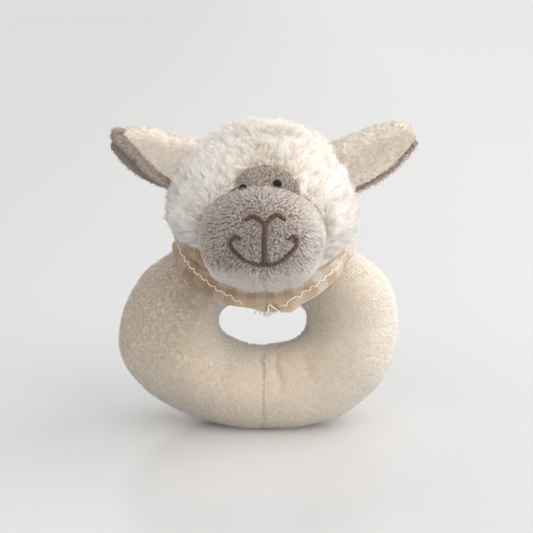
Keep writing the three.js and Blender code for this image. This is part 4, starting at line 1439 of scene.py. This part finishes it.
def head_fill():
    """One wad that fills head and muzzle, with the capsule's round pocket in it."""
    directions = cup_directions((0, 0, 1), (1, 0, 0), 180, 70, 110)
    to_head = np.linalg.norm(HEAD.at(directions, 5.4) - HEAD_CENTRE, axis=-1)
    # how far it is from the head's centre to the muzzle's inside
    size = np.array([MUZZLE.wide, MUZZLE.deep, MUZZLE.rise]) - FILL_INSET
    ahead = directions / size
    start = (HEAD_CENTRE - MUZZLE_CENTRE) / size
    b = np.sum(ahead * start, axis=-1)
    a = np.sum(ahead * ahead, axis=-1)
    root = b * b - a * (np.sum(start * start) - 1)
    to_muzzle = np.where(root > 0, (-b + np.sqrt(np.maximum(root, 0))) / a, 0)
    outer = HEAD_CENTRE + directions * np.maximum(to_head, to_muzzle)[..., None]
    outer = tufted(outer.reshape(-1, 3), HEAD_CENTRE, 1.3, 53).reshape(outer.shape)
    cup_low = span("capsule_cup")[0]
    lid_high = span("capsule_lid")[1]
    inner = (cup_low + lid_high) / 2 + directions * ((lid_high[2] - cup_low[2]) / 2 + POCKET_GAP)
    wad = shell("head_fibre_fill", outer, inner, fill, closed=True)
    put_on(wad, "head", "head_stuffing")


ring_fill()
head_fill()
for carried in ("capsule_cup", "capsule_lid", "bead_1", "bead_2", "bead_3"):
    carried_mesh = bpy.data.objects[carried].data
    carried_mesh.materials.clear()
    carried_mesh.materials.append(bead_plastic if carried.startswith("bead") else capsule_plastic)


# Stage, light and camera
FLOOR_HALF = 40000.0
AIM = Vector((1.8 * MM, 0, 75.6 * MM))
CAMERA_RISE = math.radians(15)
CAMERA_AWAY = 572 * MM
LENS = 85
SENSOR = 36


def stage():
    """A floor with painted light: paler to the right and to the back, as the lamps' light falls, and paler
    round the toy, which lightens the toy's shadow.
    """
    floor = Finish("floor", 0.2, 0.6)
    # painted light: paler to the right and to the back
    across = floor.spread(floor.along("X"), -240 * MM, 240 * MM)
    back = floor.spread(floor.along("Y"), -160 * MM, 140 * MM, 0.5, 1.0)
    haze = floor.mottle(600.0, high=0.06)
    shade = floor.calc("ADD", floor.calc("MULTIPLY", across, back), haze, clamp=True)
    # painted light round the toy, lightening its shadow
    away = floor.node("VectorMath", {0: floor.place()}, operation="LENGTH").outputs["Value"]
    lit_near_toy = floor.spread(away, 95 * MM, 40 * MM, 0.0, 0.35)
    floor.set("Base Color", floor.blend(lit_near_toy, floor.blend(shade, "#c2c3c4", "#d7d7d9"), "#ebe8e3"))
    corners = FLOOR_HALF * np.array([[-1, -1, 0], [1, -1, 0], [1, 1, 0], [-1, 1, 0]])
    new_object("floor", corners, [np.array([[0, 1, 2, 3]])], floor.material)


def sun(name, azimuth, elevation, strength, width, colour="#ffffff"):
    """A distant lamp. Azimuth 0 shines from the front, 90 from the viewer's right."""
    data = bpy.data.lights.new(name, "SUN")
    data.energy = strength
    data.angle = math.radians(width)
    data.color = linear(colour)[:3]
    turn, rise = math.radians(azimuth), math.radians(elevation)
    at = Vector((math.sin(turn) * math.cos(rise), -math.cos(turn) * math.cos(rise), math.sin(rise)))
    added(name, data).rotation_euler = at.to_track_quat("Z", "Y").to_euler()


def studio():
    """Soft light from all round, with a slightly darker wall for the camera to see."""
    world = bpy.data.worlds.new("studio")
    world.use_nodes = True
    tree = world.node_tree
    light = tree.nodes["Background"]
    light.inputs["Color"].default_value = linear("#f5f4f2")
    light.inputs["Strength"].default_value = 0.76
    wall = tree.nodes.new("ShaderNodeBackground")
    wall.inputs["Color"].default_value = linear("#e6e6e7")
    either = tree.nodes.new("ShaderNodeMixShader")
    ray = tree.nodes.new("ShaderNodeLightPath")
    sources = (ray.outputs["Is Camera Ray"], light.outputs[0], wall.outputs[0])
    for source, socket in zip(sources, either.inputs):
        tree.links.new(source, socket)
    tree.links.new(either.outputs[0], tree.nodes["World Output"].inputs["Surface"])
    bpy.context.scene.world = world
    bpy.context.scene.view_settings.view_transform = "Standard"


def camera():
    data = bpy.data.cameras.new("camera")
    data.lens = LENS
    data.sensor_width = SENSOR
    made = added("camera", data)
    made.location = AIM + Vector((0, -math.cos(CAMERA_RISE), math.sin(CAMERA_RISE))) * CAMERA_AWAY
    made.rotation_euler = (AIM - made.location).to_track_quat("-Z", "Y").to_euler()
    bpy.context.scene.camera = made


stage()
sun("key", 80, 30, 2.35, 75, "#fffdfb")
sun("fill", -50, 18, 0.75, 80)
sun("low", 30, 8, 0.5, 70)
sun("top", 20, 70, 0.32, 70)
sun("back", 195, 58, 0.4, 60)
studio()
camera()
